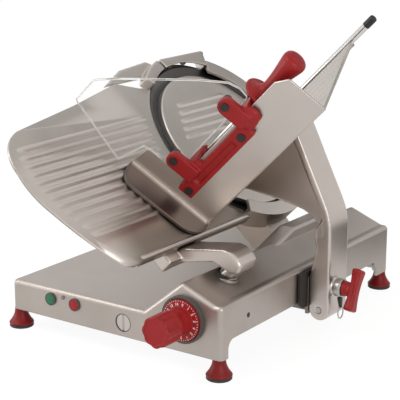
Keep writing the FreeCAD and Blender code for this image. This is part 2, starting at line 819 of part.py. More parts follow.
def top_guard():
    """Fixed wing and end block over the blade's top, between the gauge plate and the sharpener."""
    block = sector(end_block_inner, end_block_outer, -10, end_block_front_h, end_block_start, end_block_end)
    arm = sector(housing_radius, (end_block_inner + end_block_outer) / 2.0, case_front_h, -9,
                 end_block_start + 6, end_block_end)
    wing = prism([V(-blade_radius - rise, y, -wing_thickness) for rise, y in wing_outline],
                 V(0, 0, wing_thickness))
    wing = wing.cut(rod(V(0, 0, -10), Z_AXIS, end_block_inner, 20))
    return place(join([block, arm, wing]), blade)


def sharpener_body():
    """Hollow block over the blade's top, open below and behind, with the stones' axles."""
    outer = sector(sharp_inner_radius, sharp_top + 30, sharp_back_h, ring_front_h, sharp_start, sharp_end)
    flat = box(-sharp_top, 0, -far, far, sharp_back_h, ring_front_h)
    inner = sector(sharp_inner_radius - 5, sharp_top + 30, sharp_back_h - 1, ring_front_h - sharp_wall,
                   sharp_start + 1.3, sharp_end - 1.3)
    hollow = box(-sharp_top + sharp_wall, 0, -far, far, sharp_back_h - 1, ring_front_h - sharp_wall)
    shell = outer.common(flat).cut(inner.common(hollow))
    pins = [rod(c, Z_AXIS, stone_pin_radius, ring_front_h - sharp_wall - stone_back_h + 1)
            for c in stone_places(stone_back_h - 1)]
    return place(join([shell] + pins), blade)


def stone_places(h):
    places = []
    for rise, degrees in zip(stone_reaches, stone_angles):
        reach = blade_radius + rise
        angle = math.radians(degrees)
        places.append(V(-reach * math.cos(angle), reach * math.sin(angle), h))
    return places


def sharpening_stone(index):
    centre = stone_places(stone_back_h)[index]
    wheel = rod(centre, Z_AXIS, stone_radii[index], stone_thickness)
    bore = rod(centre - V(0, 0, 1), Z_AXIS, stone_pin_radius + bush_clear, stone_thickness + 2)
    return place(wheel.cut(bore), blade)


# ------------------------------------------------------------ drive
def drive_centre():
    return V(drive_s - blade_s, 0, 0)


def motor_pulley():
    c = drive_centre()
    wheel = rod(c + V(0, 0, pulley_back_h), Z_AXIS, motor_pulley_radius, pulley_front_h - pulley_back_h)
    shaft = rod(c + V(0, 0, gearbox_front_h - 16), Z_AXIS, 6.0, pulley_front_h - gearbox_front_h + 16)
    return place(join([wheel, shaft]), blade)


def drive_belt():
    reach = drive_s - blade_s
    middle = (pulley_back_h + pulley_front_h) / 2.0
    low = middle - belt_width / 2.0
    high = middle + belt_width / 2.0
    outer = hull(0, blade_pulley_radius + belt_clear + belt_thickness, reach,
                 motor_pulley_radius + belt_clear + belt_thickness, low, high)
    inner = hull(0, blade_pulley_radius + belt_clear, reach, motor_pulley_radius + belt_clear,
                 low - 1, high + 1)
    return place(outer.cut(inner), blade)


def gearbox():
    c = drive_centre()
    half = gearbox_half
    block = box(c.x - half, c.x + half, -half, half, gearbox_back_h, gearbox_front_h)
    bore = rod(c + V(0, 0, gearbox_front_h - 17), Z_AXIS, 6.0 + bush_clear, 40)
    return place(block.cut(bore), blade)


def gear_motor():
    return rod(V(motor_x, blade_y + gearbox_half, motor_z), Y_AXIS, motor_radius, motor_length)


def motor_mount():
    """Saddle that hangs the motor from the inside of the ridge."""
    y0 = blade_y + gearbox_half + 60
    block = box(motor_x - motor_radius - 8, motor_x + motor_radius + 8, y0, y0 + 24, motor_z - 10, 200)
    block = block.common(base_solid(base_wall))
    return block.cut(rod(V(motor_x, y0 - 1, motor_z), Y_AXIS, motor_radius, 30))


def power_gland():
    """Cable gland in the back wall."""
    start = V(gland_x, inner_back_y - 10, gland_z)
    body = join([rod(start, Y_AXIS, gland_radius - 3, 10 + base_wall + 12),
                 rod(V(gland_x, half_depth, gland_z), Y_AXIS, gland_radius, 7)])
    return body.cut(rod(start - V(0, 1, 0), Y_AXIS, gland_bore_radius, 40))


# ------------------------------------------------------------ gauge
def gauge_outline(h):
    """Outline of the gauge plate in the slope frame, starting at its top corner by the blade."""
    radius = blade_radius + plate_blade_gap
    top_s = blade_s - math.sqrt(radius ** 2 - (plate_top_y - blade_y) ** 2)
    low_y = blade_y - math.sqrt(radius ** 2 - (plate_low_s - blade_s) ** 2)
    corner = V(plate_top_corner[0], plate_top_corner[1], h)
    first = V(top_s, plate_top_y, h)
    last = V(plate_low_s, low_y, h)
    middle = V(blade_s, blade_y - radius, h)
    near = [V(x, y, h) for x, y in plate_edge_points] + [V(plate_low_s, plate_near_end, h)]
    arcs = [V(x, y, h) for x, y in plate_arc_points]
    return Part.Wire([Part.makeLine(first, corner), Part.makeLine(corner, near[0]),
                      Part.makeLine(near[0], near[1]),
                      Part.Arc(near[1], arcs[0], near[2]).toShape(),
                      Part.Arc(near[2], arcs[1], near[3]).toShape(),
                      Part.Arc(near[3], arcs[2], near[4]).toShape(),
                      Part.makeLine(near[4], near[5]), Part.makeLine(near[5], near[6]),
                      Part.makeLine(near[6], last), Part.Arc(last, middle, first).toShape()])


def gauge_ribs():
    ribs = []
    reach = blade_radius + gauge_rib_end_gap
    for index in range(gauge_rib_count):
        s = gauge_rib_first_s + index * gauge_rib_pitch
        start = gauge_rib_start_y + max(s - gauge_rib_turn_s, 0.0) * 0.72
        end = blade_y - math.sqrt(max(reach ** 2 - (s - blade_s) ** 2, 0.0))
        half = gauge_rib_width / 2.0
        bar = box(s - half, s + half, start + half, end - half, gauge_plane - 1, gauge_plane + gauge_rib_height)
        ends = [rod(V(s, y, gauge_plane - 1), Z_AXIS, half, 1 + gauge_rib_height)
                for y in (start + half, end - half)]
        ribs.append(join([bar] + ends))
    return ribs


def gauge_plate():
    """Ribbed cast plate with a stiffening rail along its lower edge."""
    sheet = Part.Face(gauge_outline(gauge_plane - plate_thickness)).extrude(V(0, 0, plate_thickness))
    low_y = blade_y - math.sqrt((blade_radius + plate_blade_gap) ** 2 - (plate_low_s - blade_s) ** 2)
    rail = box(plate_low_s - rail_width, plate_low_s, plate_near_end + rail_end_inset, low_y - rail_width,
               gauge_plane - plate_thickness - rail_depth, gauge_plane - plate_thickness)
    upper = box(upper_rail_s, upper_rail_s + upper_rail_width, upper_rail_start, upper_rail_end,
                gauge_plane - plate_thickness - upper_rail_depth, gauge_plane - plate_thickness)
    plate = place(join([sheet, rail, upper] + gauge_ribs()), slope)
    ring_room = sector(blade_radius, ring_outer_radius + plate_blade_gap, case_front_h, ring_front_h,
                       ring_end - 40, ring_end + 1.0)
    return max(plate.cut(place(ring_room, blade)).Solids, key=lambda solid: solid.Volume)


def gauge_support():
    """Arm casting: block under the plate's rail, then over the ridge to the post."""
    block = place(box(plate_low_s - rail_width, block_s1, block_front_y, support_back_y, block_low_n,
                      gauge_plane - plate_thickness - rail_depth), slope)
    y = support_front_y
    arm = prism([V(x, y, z) for x, z in support_outline], V(0, support_back_y - y, 0))
    end_x = max(x for x, z in support_outline) - 4 * support_end_round
    arm = round_edges(arm, support_end_round, lambda e: min(v.Point.x for v in e.Vertexes) > end_x)
    arm = arm.cut(place(box(plate_low_s - far, plate_low_s + 1.5, -far, far,
                            gauge_plane - plate_thickness - rail_depth, far), slope))
    bolt = place(box(plate_low_s + 3, block_s1 - 1, block_front_y + 12, block_front_y + 24, block_low_n - 6,
                     block_low_n), slope)
    bore = place(rod(V(post_s, post_y, gauge_plane - 100), Z_AXIS, post_radius, post_top_n - 105), slope)
    return join([block, arm, bolt]).cut(bore)


def gauge_post():
    """Slides along the blade's axis through the ridge; its pin runs in the dial's cam."""
    top = post_top_n
    post = rod(V(post_s, post_y, post_bottom_n), Z_AXIS, post_radius, top - post_bottom_n)
    pin_n = cam_centre_n() - cam_start_radius
    pin_s = cam_centre_s()
    plate_y = cam_y() + cam_thickness + 4.0
    carrier = box(post_s - 6, pin_s + 7, plate_y, post_y, pin_n - 24, pin_n - 6)
    ear = box(pin_s - 7, pin_s + 7, plate_y, plate_y + 8, pin_n - 12, pin_n + 6)
    pin = rod(V(pin_s, cam_y() + 3.5, pin_n), Y_AXIS, cam_pin_radius, plate_y - cam_y())
    return place(join([post, carrier, ear, pin]), slope)


def post_guide():
    """Guide bush under the ridge that the gauge post slides in."""
    top = gauge_plane + 10
    low = top - post_guide_length - 20
    tube = rod(V(post_s, post_y, low), Z_AXIS, post_guide_radius, top - low + 30)
    web = box(post_s - 40, post_s, post_y + 12, post_y + 22, low, low + 30)
    bush = join([tube, web])
    bush = bush.cut(rod(V(post_s, post_y, low - 1), Z_AXIS, post_radius + bush_clear, 200))
    inside = base_solid(base_wall)
    return place(bush, slope).common(inside)


def post_seal():
    tube = rod(V(post_s, post_y, gauge_plane - 20), Z_AXIS, post_radius + 4, 60)
    tube = tube.cut(rod(V(post_s, post_y, gauge_plane - 21), Z_AXIS, post_radius + fit_gap, 70))
    placed = place(tube, slope)
    band = prism([p + V(0, post_y - 30, 0) for p in (
        V(ridge_x, 0, ridge_z), V(ridge_x, 0, ridge_z + seal_height),
        V(shoulder_x, 0, shoulder_z + seal_height), V(shoulder_x, 0, shoulder_z))], V(0, 60, 0))
    return placed.common(band)


# ------------------------------------------------------------ tray
def wall_outline(x):
    h0 = tray_gap
    corner = wall_corner
    top = wall_height
    right = tray_length
    pts = [V(x, 0, h0), V(x, strip_height, h0), V(x, strip_height - 6, strip_width),
           V(x, top, strip_width), V(x, top, right - corner - 8), V(x, top - corner, right),
           V(x, 0, right)]
    return pts


def tray_wall():
    points = wall_outline(0.0)
    wall = prism(points, V(wall_thickness, 0, 0))
    wall = round_edges(wall, 6.0, lambda e: len(e.Vertexes) == 2
                       and abs(e.Vertexes[0].Point.x - e.Vertexes[1].Point.x) > 1.0
                       and e.Vertexes[0].Point.y > 20 and e.Vertexes[0].Point.z > tray_gap + 1)
    flange = flange_solid(0.0, tray_gap, tray_gap + flange_thickness)
    rim = flange_solid(0.0, tray_gap, tray_gap + flange_thickness + 2).cut(
        flange_solid(3.0, tray_gap, tray_gap + flange_thickness + 3))
    return place(join([wall, flange, rim]), tray)


def flange_solid(inset, low, high):
    width = -flange_width + inset
    top = strip_height + 2 - inset
    bottom = inset
    r_low = flange_low_round - inset
    r_high = flange_high_round - inset
    root = wall_thickness
    k = math.sqrt(0.5)
    low_mid = V(width + r_low * (1 - k), bottom + r_low * (1 - k), low)
    high_mid = V(width + r_high * (1 - k), top - r_high * (1 - k), low)
    low_arc = Part.Arc(V(width + r_low, bottom, low), low_mid, V(width, bottom + r_low, low)).toShape()
    high_arc = Part.Arc(V(width, top - r_high, low), high_mid, V(width + r_high, top, low)).toShape()
    lines = [Part.makeLine(V(root, bottom, low), V(width + r_low, bottom, low)),
             Part.makeLine(V(width, bottom + r_low, low), V(width, top - r_high, low)),
             Part.makeLine(V(width + r_high, top, low), V(root, top, low)),
             Part.makeLine(V(root, top, low), V(root, bottom, low))]
    wire = Part.Wire([lines[0], low_arc, lines[1], high_arc, lines[2], lines[3]])
    return Part.Face(wire).extrude(V(0, 0, high - low))


def tray_floor():
    start = wall_thickness
    low = tray_gap + floor_relief
    plate = box(start, floor_width, 0, floor_thickness, low, tray_length)
    ribs = []
    x = start + 16.0
    while x < floor_width - 8:
        ribs.append(box(x - floor_rib_width / 2, x + floor_rib_width / 2, floor_thickness - 1,
                        floor_thickness + floor_rib_height, low + 4, tray_length - 3))
        x += floor_rib_pitch
    lugs = []
    for h in (low + lug_inset, tray_length - lug_inset - lug_length):
        lugs.append(box(floor_width - 4, slide_rod_x + 2, 0, slide_rod_y + slide_rod_radius + 4, h,
                        h + lug_length))
        lugs.append(rod(V(slide_rod_x, slide_rod_y, h), Z_AXIS, slide_rod_radius + 4, lug_length))
    bore = rod(V(slide_rod_x, slide_rod_y, 0), Z_AXIS, slide_rod_radius, 400)
    return place(join([plate] + ribs + lugs).cut(bore), tray)


def pusher_rod():
    start = tray_gap + floor_relief + 2.0
    return place(rod(V(slide_rod_x, slide_rod_y, start), Z_AXIS, slide_rod_radius, slide_rod_end - start),
                 tray)


def pusher_rod_cap():
    cap = rod(V(slide_rod_x, slide_rod_y, slide_rod_end), Z_AXIS, slide_rod_radius + 0.6, slide_cap_length)
    return place(round_edges(cap, 3.0, lambda e: e.BoundBox.ZMin > slide_rod_end + slide_cap_length - 0.1), tray)


def handle_bracket():
    """Moulded bar on the wall's outer face with two ears that carry the rod and the guard."""
    bar = box(-bar_thickness, 0, bar_low, bar_high, bar_start, bar_end)
    bar = round_edges(bar, 3.0, lambda e: abs(e.BoundBox.XMin + bar_thickness) < 0.1
                      and abs(e.BoundBox.XMax + bar_thickness) < 0.1)
    groove = box(-bar_thickness - 1, -bar_thickness + bar_groove, bar_low + 8, bar_low + 20,
                 bar_start + 36, bar_end - 40)
    pieces = [bar.cut(groove), ear(ear_low_start, boss_low_start), ear(ear_high_start, boss_high_start)]
    bolts = [place(guard_bolt(start, guard_bolt_radius), guard_frame())
             for start in (ear_low_start, ear_high_start)]
    return place(join(pieces), tray).cut(Part.makeCompound(bolts))


def ear(start, boss_start):
    """One ear: a rounded tongue in front, a bridge over the wall's top edge and the rod's boss."""
    end = start + ear_width
    r = ear_width / 2.0
    bridge_low = wall_height + fit_gap
    tongue = box(ear_front, ear_back, bar_high - 8, ear_tip - r, start, end)
    tip = rod(V(ear_front, ear_tip - r, start + r), X_AXIS, r, ear_back - ear_front)
    root = box(ear_front, -1.0, bar_high - 8, bridge_low + 12, start, end)
    boss_end = boss_start + boss_length
    collar = rod(V(rod_x, rod_y, boss_start), Z_AXIS, boss_outer_radius, boss_length)
    bridge = box(-bar_thickness + 2, rod_x, bridge_low, bridge_low + 8, boss_start, boss_end)
    front = box(-bar_thickness + 2, 0, bar_high - 20, bridge_low + 8, boss_start, boss_end)
    front = round_edges(front, 5.0, lambda e: e.BoundBox.XMax < -bar_thickness + 2.1)
    drop = box(rod_x - 20, rod_x, rod_y, bridge_low + 8, boss_start, boss_end)
    body = join([tongue, tip, root, collar, bridge, front, drop])
    wall_gap = box(0, wall_thickness + fit_gap, 0, bridge_low, 0, 400)
    return body.cut(wall_gap).cut(rod(V(rod_x, rod_y, 0), Z_AXIS, rod_radius, 400))


def ear_centre(start):
    return start + ear_width / 2.0


def screw_caps():
    caps = []
    for h in (bar_start + 12, bar_end - 21):
        caps.append(rod(V(-bar_thickness - cap_height, (bar_low + bar_high) / 2.0 - 2, h), X_AXIS, cap_radius,
                        cap_height))
    for start in (ear_low_start, ear_high_start):
        caps.append(rod(V(ear_front - cap_height, ear_hole_y, ear_centre(start)), X_AXIS, cap_radius,
                        cap_height))
    return [place(cap, tray) for cap in caps]


def handle_rod():
    return place(rod(V(rod_x, rod_y, rod_start), Z_AXIS, rod_radius, handle_start + rod_grip_depth - rod_start), tray)


def carriage_handle():
    top = handle_length
    profile = [V(0, 0, 0), V(handle_disc_radius - 2, 0, 0), V(handle_disc_radius, 0, 2),
               V(handle_disc_radius, 0, handle_disc_thickness), V(grip_neck_radius + 6, 0, handle_disc_thickness + 2),
               V(grip_neck_radius, 0, handle_disc_thickness + 8),
               V(grip_neck_radius + 3, 0, top * 0.5), V(grip_end_radius - 1, 0, top - 24),
               V(grip_end_radius, 0, top - 14), V(grip_end_radius - 4, 0, top - 5), V(grip_end_radius - 10, 0, top),
               V(0, 0, top)]
    knob = revolve(profile)
    knob = knob.cut(rod(V(0, 0, -1), Z_AXIS, rod_radius, rod_grip_depth + 1))
    return place(place(knob, FreeCAD.Placement(V(rod_x, rod_y, handle_start), FreeCAD.Rotation())), tray)


def guard_frame():
    """Frame of the clear guard: y up the guard, z away from the blade, x through it."""
    local = FreeCAD.Placement(V(ear_back, ear_tip, 0), FreeCAD.Rotation(Z_AXIS, guard_lean))
    return tray.multiply(local)


def clear_guard():
    """Flat clear plate bolted behind the two ears, leaning towards the operator."""
    points = [V(0, t, h) for h, t in guard_blade_side]
    points += [V(0, t, tray_length - h) for h, t in guard_far_side]
    plate = prism(points, V(guard_thickness, 0, 0))
    plate = round_edges(plate, 4.0, lambda e: len(e.Vertexes) == 2 and e.BoundBox.XLength > 1.0)
    holes = [rod(V(-1, guard_bolt_y(), ear_centre(start)), X_AXIS, guard_bolt_radius, guard_thickness + 2)
             for start in (ear_low_start, ear_high_start)]
    return place(plate.cut(Part.makeCompound(holes)), guard_frame())


def guard_bolt_y():
    return (ear_hole_y - ear_tip) / math.cos(math.radians(guard_lean))


def guard_bolt(start, radius):
    """Bolt through ear and plate, square to the plate."""
    first = ear_front - ear_back + 2.0
    return rod(V(first, guard_bolt_y(), ear_centre(start)), X_AXIS, radius, guard_thickness + 6 - first)


def guard_nuts():
    nuts = []
    for start in (ear_low_start, ear_high_start):
        nut = rod(V(guard_thickness, guard_bolt_y(), ear_centre(start)), X_AXIS, cap_radius, 6)
        nuts.append(place(join([guard_bolt(start, guard_bolt_radius), nut]), guard_frame()))
    return nuts


# ------------------------------------------------------------ pusher
def pusher():
    """Sleeve on the guide rod with a low arm that carries the spiked pusher plate."""
    tube = rod(V(slide_rod_x, slide_rod_y, slider_start), Z_AXIS, slider_radius, slider_length)
    arm_y0 = floor_thickness + floor_rib_height + 1
    arm = box(pusher_arm_x0, slide_rod_x, arm_y0, arm_y0 + 9, slider_start + 6, slider_start + 26)
    post = box(pusher_arm_x0, pusher_arm_x0 + 12, arm_y0, pusher_post_top, slider_start + 6, slider_start + 26)
    body = join([tube, arm, post, pusher_plate()])
    return place(body.cut(rod(V(slide_rod_x, slide_rod_y, slider_start - 1), Z_AXIS,
                              slide_rod_radius + bush_clear, slider_length + 2)), tray)


def pusher_plate():
    """Plate that presses the product towards the blade, with rows of short spikes."""
    x1 = pusher_arm_x0 + 40
    x0 = x1 - pusher_plate_width
    y0 = floor_thickness + floor_rib_height + 1
    back = slider_start + 6
    plate = box(x0, x1, y0, pusher_plate_top, back - pusher_plate_thickness, back)
    spikes = []
    for row in range(spike_rows):
        for column in range(spike_columns):
            x = x0 + (column + 0.5) * (x1 - x0) / spike_columns
            y = y0 + (row + 0.5) * (pusher_plate_top - y0) / spike_rows
            spikes.append(Part.makeCone(0.4, spike_radius, spike_length + 0.1,
                                        V(x, y, back - pusher_plate_thickness - spike_length), Z_AXIS))
    return join([plate] + spikes)


def pusher_knob():
    """Ball grip on the pusher's post."""
    centre = V(pusher_arm_x0 + 6, pusher_post_top, slider_start + 16)
    ball = Part.makeSphere(pusher_knob_radius, centre + V(0, pusher_knob_radius - 1, 0))
    flat = box(0, 400, pusher_post_top, 200, 0, 400)
    return place(ball.common(flat), tray)


# ------------------------------------------------------------ carriage and arm
def carriage_rod():
    return rod(V(slide_x, inner_front_y, slide_z), Y_AXIS, slide_radius, inner_back_y - inner_front_y)


def carriage_rod_blocks():
    blocks = []
    for y in (inner_front_y, inner_back_y - rod_block_length):
        block = box(slide_x - 18, inner_right_x, y, y + rod_block_length, slide_z - 18, slide_z + 18)
        blocks.append(block.cut(rod(V(slide_x, y - 1, slide_z), Y_AXIS, slide_radius, rod_block_length + 2)))
    return blocks


def guide_bar():
    rail_x = slide_x + guide_head_radius + fit_gap
    return box(rail_x, inner_right_x, inner_front_y, inner_back_y, slide_z + 18 + fit_gap,
               slide_z + 18 + fit_gap + guide_head_height + 2)


def carriage_shoe():
    half = shoe_half_width
    body = box(slide_x - half, slide_x + half, shoe_front_y, shoe_back_y, slide_z - half, slide_z + half)
    bore = rod(V(slide_x, shoe_front_y - 1, slide_z), Y_AXIS, bush_radius, shoe_back_y - shoe_front_y + 2)
    y0 = tongue_y - tongue_half_width
    y1 = tongue_y + tongue_half_width
    stem = box(slide_x - half + 4, slide_x + half, y0, y1, tongue_bottom_z, slide_z - half + 0.1)
    tongue = box(slide_x - half + 4, pivot_x, y0, y1, tongue_bottom_z, tongue_top_z)
    nose = rod(V(pivot_x, y0, pivot_z), Y_AXIS, (tongue_top_z - tongue_bottom_z) / 2.0, y1 - y0)
    ear_x0 = base_right + loose_gap
    ear_plate = box(ear_x0, arm_inner_x - loose_gap, arm_front_y, y1, tongue_bottom_z, lock_z + 14)
    pivot_hole = rod(V(pivot_x, y0 - 1, pivot_z), Y_AXIS, pivot_radius + pivot_clear, y1 - y0 + 2)
    return join([body, stem, tongue, nose, ear_plate]).cut(bore).cut(pivot_hole)


def carriage_bushes():
    bushes = []
    for y in (shoe_front_y, shoe_back_y - bush_length):
        ring = rod(V(slide_x, y, slide_z), Y_AXIS, bush_radius, bush_length)
        bushes.append(ring.cut(rod(V(slide_x, y - 1, slide_z), Y_AXIS, slide_radius + bush_clear,
                                   bush_length + 2)))
    return bushes


def guide_studs():
    base_z = slide_z + shoe_half_width
    studs = []
    for y in (shoe_front_y + 20, shoe_back_y - 20):
        pin = rod(V(slide_x, y, base_z), Z_AXIS, 4.0, 4.0)
        head = rod(V(slide_x, y, base_z + 4), Z_AXIS, guide_head_radius, guide_head_height)
        studs.append(join([pin, head]))
    return studs


def arm_outline(y, inset):
    """Arched outline of the arm in XZ; the inset shrinks only its outer edge."""
    lean = math.radians(arm_lean)
    centre = V(arm_outer_x - arm_bend_radius, y, arm_bend_z)
    radius = arm_bend_radius - inset
    start = centre + V(radius, 0, 0)
    middle = centre + V(radius * math.cos(lean / 2), 0, radius * math.sin(lean / 2))
    end = centre + V(radius * math.cos(lean), 0, radius * math.sin(lean))
    top = end + V(-math.sin(lean) * arm_top_length, 0, math.cos(lean) * arm_top_length)
    foot = arm_outer_x - inset
    return start, middle, end, top, foot


def arm_profile(y):
    start, middle, end, top, foot = arm_outline(y, 0.0)
    inner = [V(arm_inner_x + x, y, z) for x, z in arm_inner_outline] + [V(arm_inner_x, y, pivot_z)]
    edges = [Part.Arc(start, middle, end).toShape(), Part.makeLine(end, top),
             Part.makeLine(top, V(inner[0].x, y, top.z)), Part.makeLine(V(inner[0].x, y, top.z), inner[0])]
    edges += [Part.makeLine(a, b) for a, b in zip(inner, inner[1:])]
    centre_x = (arm_inner_x + foot) / 2.0
    edges.append(Part.Arc(inner[-1], V(centre_x, y, pivot_z - (foot - arm_inner_x) / 2.0),
                          V(foot, y, pivot_z)).toShape())
    edges.append(Part.makeLine(V(foot, y, pivot_z), start))
    return Part.Wire(edges)


def arm_band():
    """Thick outer edge of the arch."""
    depth = arm_back_y - arm_front_y
    y = arm_front_y
    outer = arm_outline(y, -2.0)
    inner = arm_outline(y, arm_skin)
    wire = Part.Wire([Part.Arc(outer[0], outer[1], outer[2]).toShape(), Part.makeLine(outer[2], outer[3]),
                      Part.makeLine(outer[3], inner[3]), Part.makeLine(inner[3], inner[2]),
                      Part.Arc(inner[2], inner[1], inner[0]).toShape(),
                      Part.makeLine(inner[0], V(inner[4], y, 140)),
                      Part.makeLine(V(inner[4], y, 140), V(outer[4], y, 140)),
                      Part.makeLine(V(outer[4], y, 140), outer[0])])
    return Part.Face(wire).extrude(V(0, depth, 0))


def carriage_arm():
    """Arched casting from the carriage's pivot up to the tray, pivoting at its foot."""
    depth = arm_back_y - arm_front_y
    full = Part.Face(arm_profile(arm_front_y)).extrude(V(0, depth, 0))
    foot = full.common(box(200, 300, arm_front_y, arm_back_y, 0, 190))
    web_y = arm_front_y + web_setback
    web = Part.Face(arm_profile(web_y)).extrude(V(0, web_thickness, 0))
    saddle = place(box(saddle_x0, saddle_x1, -saddle_thickness, 0, saddle_h0, saddle_h1), tray)
    arm = join([foot, web, arm_band().common(full), saddle])
    under_floor = place(box(-600, 600, -600, 0, -300, 900), tray)
    arm = arm.common(under_floor)
    boss = rod(V(arm_outer_x - 1, lock_y, lock_z), X_AXIS, lock_boss_radius, lock_boss_height + 1)
    y0 = tongue_y - tongue_half_width - fit_gap
    y1 = tongue_y + tongue_half_width + fit_gap
    radius = (tongue_top_z - tongue_bottom_z) / 2.0 + loose_gap
    slot = join([rod(V(pivot_x, y0, pivot_z), Y_AXIS, radius, y1 - y0),
                 box(arm_inner_x - 5, pivot_x + slot_relief, y0, y1, pivot_z - 30, pivot_z + radius)])
    pin_hole = rod(V(pivot_x, arm_front_y - 1, pivot_z), Y_AXIS, pivot_radius, depth + 2)
    stud_hole = rod(V(arm_inner_x - 5, lock_y, lock_z), X_AXIS, lock_stud_radius + bush_clear, 60)
    return join([arm, boss]).cut(slot).cut(pin_hole).cut(stud_hole)


def arm_pivot_pin():
    return rod(V(pivot_x, arm_front_y, pivot_z), Y_AXIS, pivot_radius, arm_back_y - arm_front_y)


def lock_knob():
    """Tapered hub and flat T bar of the clamp knob."""
    hub_start = lock_ring_start() + lock_ring_height
    hub = Part.makeCone(lock_ring_radius - 1, lock_hub_radius, lock_hub_height,
                        V(hub_start, lock_y, lock_z), X_AXIS)
    bar_x = hub_start + lock_hub_height - 1
    half = lock_bar_length / 2.0
    wide = lock_bar_width / 2.0
    bar = box(bar_x, bar_x + lock_bar_thickness, lock_y - wide, lock_y + wide, lock_z - half, lock_z + half)
    bar = round_edges(bar, 5.0, lambda e: True)
    bar.rotate(V(bar_x, lock_y, lock_z), X_AXIS, -lock_bar_lean)
    return join([hub, bar])


def lock_ring_start():
    return arm_outer_x + lock_boss_height + fit_gap


def lock_stud():
    """Stud through the arm against the carriage's ear, with the metal ring outside."""
    stud_start = arm_inner_x - loose_gap + fit_gap
    stud = rod(V(stud_start, lock_y, lock_z), X_AXIS, lock_stud_radius, lock_ring_start() - stud_start)
    ring = rod(V(lock_ring_start(), lock_y, lock_z), X_AXIS, lock_ring_radius, lock_ring_height)
    return join([stud, ring])


# ------------------------------------------------------------ build
def build():
    os.makedirs("parts", exist_ok=True)
    save("base_housing", base_housing())
    save("base_bottom_cover", base_bottom_cover())
    save("feet", feet())
    save("foot_pads", foot_pads())
    save("foot_studs", foot_studs())
    save("button_bezels", button_bezels())
    save("start_button", push_button(start_x))
    save("stop_button", push_button(stop_x))
    save("switch_blocks", switch_blocks())
    save("pilot_lamp", pilot_lamp())
    save("door_lock", door_lock())
    save("dial_bezel", dial_bezel())
    save("dial_scale_disc", dial_scale_disc())
    save("dial_grip", dial_grip())
    save("dial_cam", dial_cam())
    save("blade", blade_knife())
    save("blade_hub", blade_hub())
    save("blade_bearings", blade_bearings())
    save("blade_cover", blade_cover())
    save("cover_tie_rod", cover_tie_rod())
    save("blade_housing", blade_housing())
    save("belt_cover", belt_cover())
    save("ring_guard", ring_guard())
    save("top_guard", top_guard())
    save("sharpener_body", sharpener_body())
    save("grinding_stone", sharpening_stone(0))
    save("finishing_stone", sharpening_stone(1))
    save("motor_pulley", motor_pulley())
    save("drive_belt", drive_belt())
    save("gearbox", gearbox())
    save("gear_motor", gear_motor())
    save("motor_mount", motor_mount())
    save("power_gland", power_gland())
    save("gauge_plate", gauge_plate())
    save("gauge_support", gauge_support())
    save("gauge_post", gauge_post())
    save("post_guide", post_guide())
    save("post_seal", post_seal())
    save("tray_wall", tray_wall())
    save("tray_floor", tray_floor())
    save("pusher_rod", pusher_rod())
    save("pusher_rod_cap", pusher_rod_cap())
    save("handle_bracket", handle_bracket())
    save("screw_caps", screw_caps())
    save("handle_rod", handle_rod())
    save("carriage_handle", carriage_handle())
    save("clear_guard", clear_guard())
    save("guard_nuts", guard_nuts())
    save("pusher", pusher())
    save("pusher_knob", pusher_knob())
    save("carriage_rod", carriage_rod())
    save("carriage_rod_blocks", carriage_rod_blocks())
    save("guide_bar", guide_bar())
    save("carriage_shoe", carriage_shoe())
    save("carriage_bushes", carriage_bushes())
    save("guide_studs", guide_studs())
    save("carriage_arm", carriage_arm())
    save("arm_pivot_pin", arm_pivot_pin())
    save("lock_knob", lock_knob())
    save("lock_stud", lock_stud())


build()
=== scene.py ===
import bpy, bmesh, math
from mathutils import Matrix, Vector


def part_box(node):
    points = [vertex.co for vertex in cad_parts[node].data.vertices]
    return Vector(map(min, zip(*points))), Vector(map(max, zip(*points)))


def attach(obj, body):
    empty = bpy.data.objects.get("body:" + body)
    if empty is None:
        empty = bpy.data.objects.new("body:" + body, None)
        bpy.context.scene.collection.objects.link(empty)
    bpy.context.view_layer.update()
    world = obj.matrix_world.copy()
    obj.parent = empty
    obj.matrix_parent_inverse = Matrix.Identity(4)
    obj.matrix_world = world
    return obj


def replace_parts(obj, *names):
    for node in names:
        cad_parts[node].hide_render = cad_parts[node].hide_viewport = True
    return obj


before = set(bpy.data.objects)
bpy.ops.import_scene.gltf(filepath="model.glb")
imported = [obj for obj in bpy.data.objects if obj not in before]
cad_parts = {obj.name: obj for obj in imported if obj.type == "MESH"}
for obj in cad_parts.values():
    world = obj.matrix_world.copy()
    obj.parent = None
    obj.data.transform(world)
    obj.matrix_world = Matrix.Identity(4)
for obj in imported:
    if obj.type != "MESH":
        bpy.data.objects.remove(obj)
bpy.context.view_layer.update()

# BASE. One aluminium casting on four feet, with a ridge along its right side that
# hides the drive. It is blasted and satin anodised, so its grey is soft and slightly
# cloudy, and every edge is rounded by the mould.


def srgb(text):
    """Linear colour of an sRGB hex value."""
    parts = [int(text[i:i + 2], 16) / 255 for i in (1, 3, 5)]
    return [c / 12.92 if c < 0.04045 else ((c + 0.055) / 1.055) ** 2.4 for c in parts] + [1]


def every(size):
    """Scale of a pattern that repeats about every so many millimetres."""
    return 1000 / size


def add(tree, kind, inputs=None, **settings):
    """Adds one node; an input is a value or the socket that feeds it."""
    made = tree.nodes.new(kind)
    for name, value in settings.items():
        setattr(made, name, value)
    for name, value in (inputs or {}).items():
        if isinstance(value, bpy.types.NodeSocket):
            tree.links.new(value, made.inputs[name])
        else:
            made.inputs[name].default_value = value
    return made


def new_material(name):
    """Empty material with its node tree and its object coordinates, in metres."""
    made = bpy.data.materials.new(name)
    made.use_nodes = True
    made.node_tree.nodes.clear()
    tree = made.node_tree
    return made, tree, add(tree, "ShaderNodeTexCoord").outputs["Object"]


def finish_material(tree, shader):
    """Ends a material in its shader."""
    add(tree, "ShaderNodeOutputMaterial", {"Surface": shader})


def coat(material, *nodes):
    """Gives CAD nodes a material."""
    for name in nodes:
        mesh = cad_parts[name].data
        mesh.materials.clear()
        mesh.materials.append(material)


